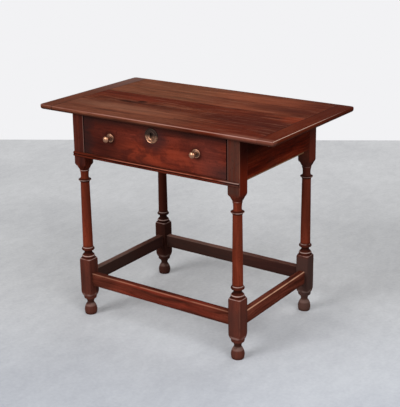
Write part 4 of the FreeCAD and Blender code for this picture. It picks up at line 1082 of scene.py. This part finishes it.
def keyhole_outline(wider=0.0):
    """Outline of the keyhole, a round with a slot below it, or of a line outside it."""
    radius, slot = KEYHOLE_RADIUS + wider, KEYHOLE_SLOT + wider
    low = KEY_Z - KEYHOLE_DROP - wider
    start = -acos(slot / radius)
    points = [(-slot, low), (slot, low)]
    for i in range(KEYHOLE_STEPS + 1):
        angle = between(start, pi - start, i / KEYHOLE_STEPS)
        points.append((radius * cos(angle), KEY_Z + radius * sin(angle)))
    return points


def make_escutcheon():
    finish = brass_finish("tarnished_lock_brass", 0.8, 8.0, LOCK_Z)
    point = turned(LOCK_RADIUS, 0, LOCK_OUT)

    def at(out, wider=0.0):
        return [(x, DRAWER_FACE_Y - out, z) for x, z in keyhole_outline(wider)]

    plate = outline((LOCK_RADIUS, 0.0), [
        [point(0.92, 1.0), point(0.82, 0.5)],
        [point(0.60, 0.5)],
        [point(0.52, 0.95), point(0.44, 0.6)],
    ], BRASS_STEPS)
    rings = on_drawer_face(plate, 0, LOCK_Z, PLATE_SIDES)
    hole = skin([at(2 * LOCK_OUT), at(-LOCK_OUT)])
    build("cast_escutcheon", *skin(rings), finish, "drawer", "brass", "escutcheon", hole=hole)
    lip = [at(share * LOCK_OUT, wider) for share, wider in LIP]
    build("keyhole_lip", *skin(lip, True), finish, "drawer", "brass", "escutcheon")


def dress(finish, *names):
    """Gives a finish to solids that stay as they are."""
    for name in names:
        for slot in nodes[name].material_slots:
            slot.link = "OBJECT"
            slot.material = finish


def dress_solids(leg):
    dress(leg, "rail_pegs", "stretcher_pegs")
    dress(drawer_front_finish(), "drawer_front")
    bottom = [f"drawer_bottom_{place}" for place in ("left", "middle", "right")]
    for name, grain, seed, *solids in (
        ("drawer_side_wood", "y", 13.0, "drawer_left_side", "drawer_right_side"),
        ("drawer_back_wood", "x", 14.0, "drawer_back", "drawer_stops"),
        ("drawer_bottom_wood", "y", 15.0, *bottom),
        ("runner_wood", "y", 16.0, "left_runner", "right_runner", "left_guide", "right_guide"),
    ):
        dress(lining_finish(name, grain, seed), *solids)
    dress(drawer_rail_finish(), "drawer_rail")
    dress(brass_finish("pin_brass", 0.8, 9.0), "escutcheon_pins")
    dress(iron_finish(), "knob_nuts", "lock_plate", "lock_case", "lock_bolt", "lock_key_pin", "lock_nails",
          "moulding_nails", "guide_nails", "drawer_nails")


# Camera fitted to the photograph, and the line where its floor ends
IMAGE_HEIGHT, FOCAL_PIXELS, AXIS_ABOVE_MIDDLE = 407, 997.9, 40
CAMERA_PLACE = Vector((1.7769, -2.5185, 1.4398))
CAMERA_YAW, CAMERA_PITCH, CAMERA_ROLL = [radians(angle) for angle in (34.941, 16.654, -0.761)]
FLOOR_END = (Vector((-2.180, 1.215, -0.0003)), Vector((-0.312, 2.364, -0.0003)))


def make_camera():
    data = bpy.data.cameras.new("camera")
    data.lens = FOCAL_PIXELS / IMAGE_HEIGHT * data.sensor_width
    data.shift_y = -AXIS_ABOVE_MIDDLE / IMAGE_HEIGHT
    camera = add("camera", data)
    turn = Matrix.Rotation(CAMERA_YAW, 4, "Z") @ Matrix.Rotation(pi / 2 - CAMERA_PITCH, 4, "X")
    turn = turn @ Matrix.Rotation(CAMERA_ROLL, 4, "Z")
    camera.matrix_world = Matrix.Translation(CAMERA_PLACE) @ turn
    scene.camera = camera


# Tones and size of the floor, in metres, and light of the room
FLOOR_STOPS = (0.36, 0.5, 0.62)
FAR_TONES = (rgb(183, 184, 187), rgb(195, 196, 198), rgb(204, 205, 207))
NEAR_TONES = (rgb(188, 192, 201), rgb(198, 202, 210), rgb(206, 210, 217))
FLOOR_WIDE, FLOOR_NEAR, SCUFF_DEPTH = 9.0, 14.0, 0.001
ROOM_LIGHT, ROOM_WHITE = 0.28, rgb(242, 242, 244)
# Lamps: degrees right of the front and above the floor, share of the floor's light, and softness in degrees
LAMPS = (
    ("front_light", -20, 25, 0.30, 32),
    ("right_light", 60, 36, 0.30, 45),
    ("back_light", 180, 25, 0.14, 40),
)


def floor_finish():
    """Pale sealed concrete, a little bluer towards the front, with scuffs and fine grit."""
    floor = Finish("pale_floor")
    x, y, _ = floor.axes(floor.place)
    cloud = floor.noise(floor.place, 2.2, 5.0, 0.55)
    scuffs = floor.noise(floor.vector("MULTIPLY", floor.place, (1.6, 0.9, 1)), 16.0, 4.0, 0.6, 0.4)
    grit = floor.noise(floor.place, 85.0, 3.0, 0.6)
    tone = cloud * 0.4 + scuffs * 0.3 + grit * 0.3
    far = floor.ramp(tone, list(zip(FLOOR_STOPS, FAR_TONES)))
    near = floor.ramp(tone, list(zip(FLOOR_STOPS, NEAR_TONES)))
    colour = floor.mix(floor.fall(y * 0.82 - x * 0.57, -0.8, 0.3), far, near)
    return floor.close(colour, 0.8, scuffs, 0.05, SCUFF_DEPTH, **{"Specular IOR Level": 0.1})


def make_floor():
    foot = (FLOOR_END[0] + FLOOR_END[1]) / 2
    right = (FLOOR_END[1] - FLOOR_END[0]).normalized()
    front = Vector((right.y, -right.x, 0))
    corners = [foot - right * FLOOR_WIDE, foot + right * FLOOR_WIDE]
    corners += [corners[1] + front * FLOOR_NEAR, corners[0] + front * FLOOR_NEAR]
    mesh = bpy.data.meshes.new("floor")
    mesh.from_pydata(corners, [], [(0, 1, 2, 3)])
    mesh.materials.append(floor_finish())
    floor = add("floor", mesh)


def lamp(name, side, height, share, softness):
    """Soft even light that comes from one side and height."""
    side, height = radians(side), radians(height)
    flat = cos(height)
    towards = Vector((flat * sin(side), -flat * cos(side), sin(height)))
    data = bpy.data.lights.new(name, "SUN")
    data.energy = share * pi / towards.z
    data.angle = radians(softness)
    add(name, data).rotation_euler = (-towards).to_track_quat("-Z", "Y").to_euler()


def make_room():
    """White room that the camera and polished faces see, and that gives only a dim even light."""
    room = Tree(bpy.data.worlds.new("white_room"))
    rays = room.node("ShaderNodeLightPath")
    camera, glossy, clear = room.outlets(rays, "Is Camera Ray", "Is Glossy Ray", "Is Transmission Ray")
    dim = room.node("ShaderNodeBackground", None, {"Color": (1, 1, 1), "Strength": ROOM_LIGHT})
    white = room.node("ShaderNodeBackground", None, {"Color": ROOM_WHITE, "Strength": 1.0})
    share = room.math("MINIMUM", camera + glossy + clear, 1.0)
    light = room.node("ShaderNodeMixShader", None, {"Fac": share, 1: dim, 2: white})
    room.node("ShaderNodeOutputWorld", None, {"Surface": light})
    scene.world = room.owner
    for settings in LAMPS:
        lamp(*settings)
    scene.view_settings.view_transform = "Standard"


make_camera()
make_floor()
make_room()
leg_wood = leg_finish()
make_top()
make_legs(leg_wood)
make_sticks()
make_moulding()
make_knobs()
make_escutcheon()
dress_solids(leg_wood)
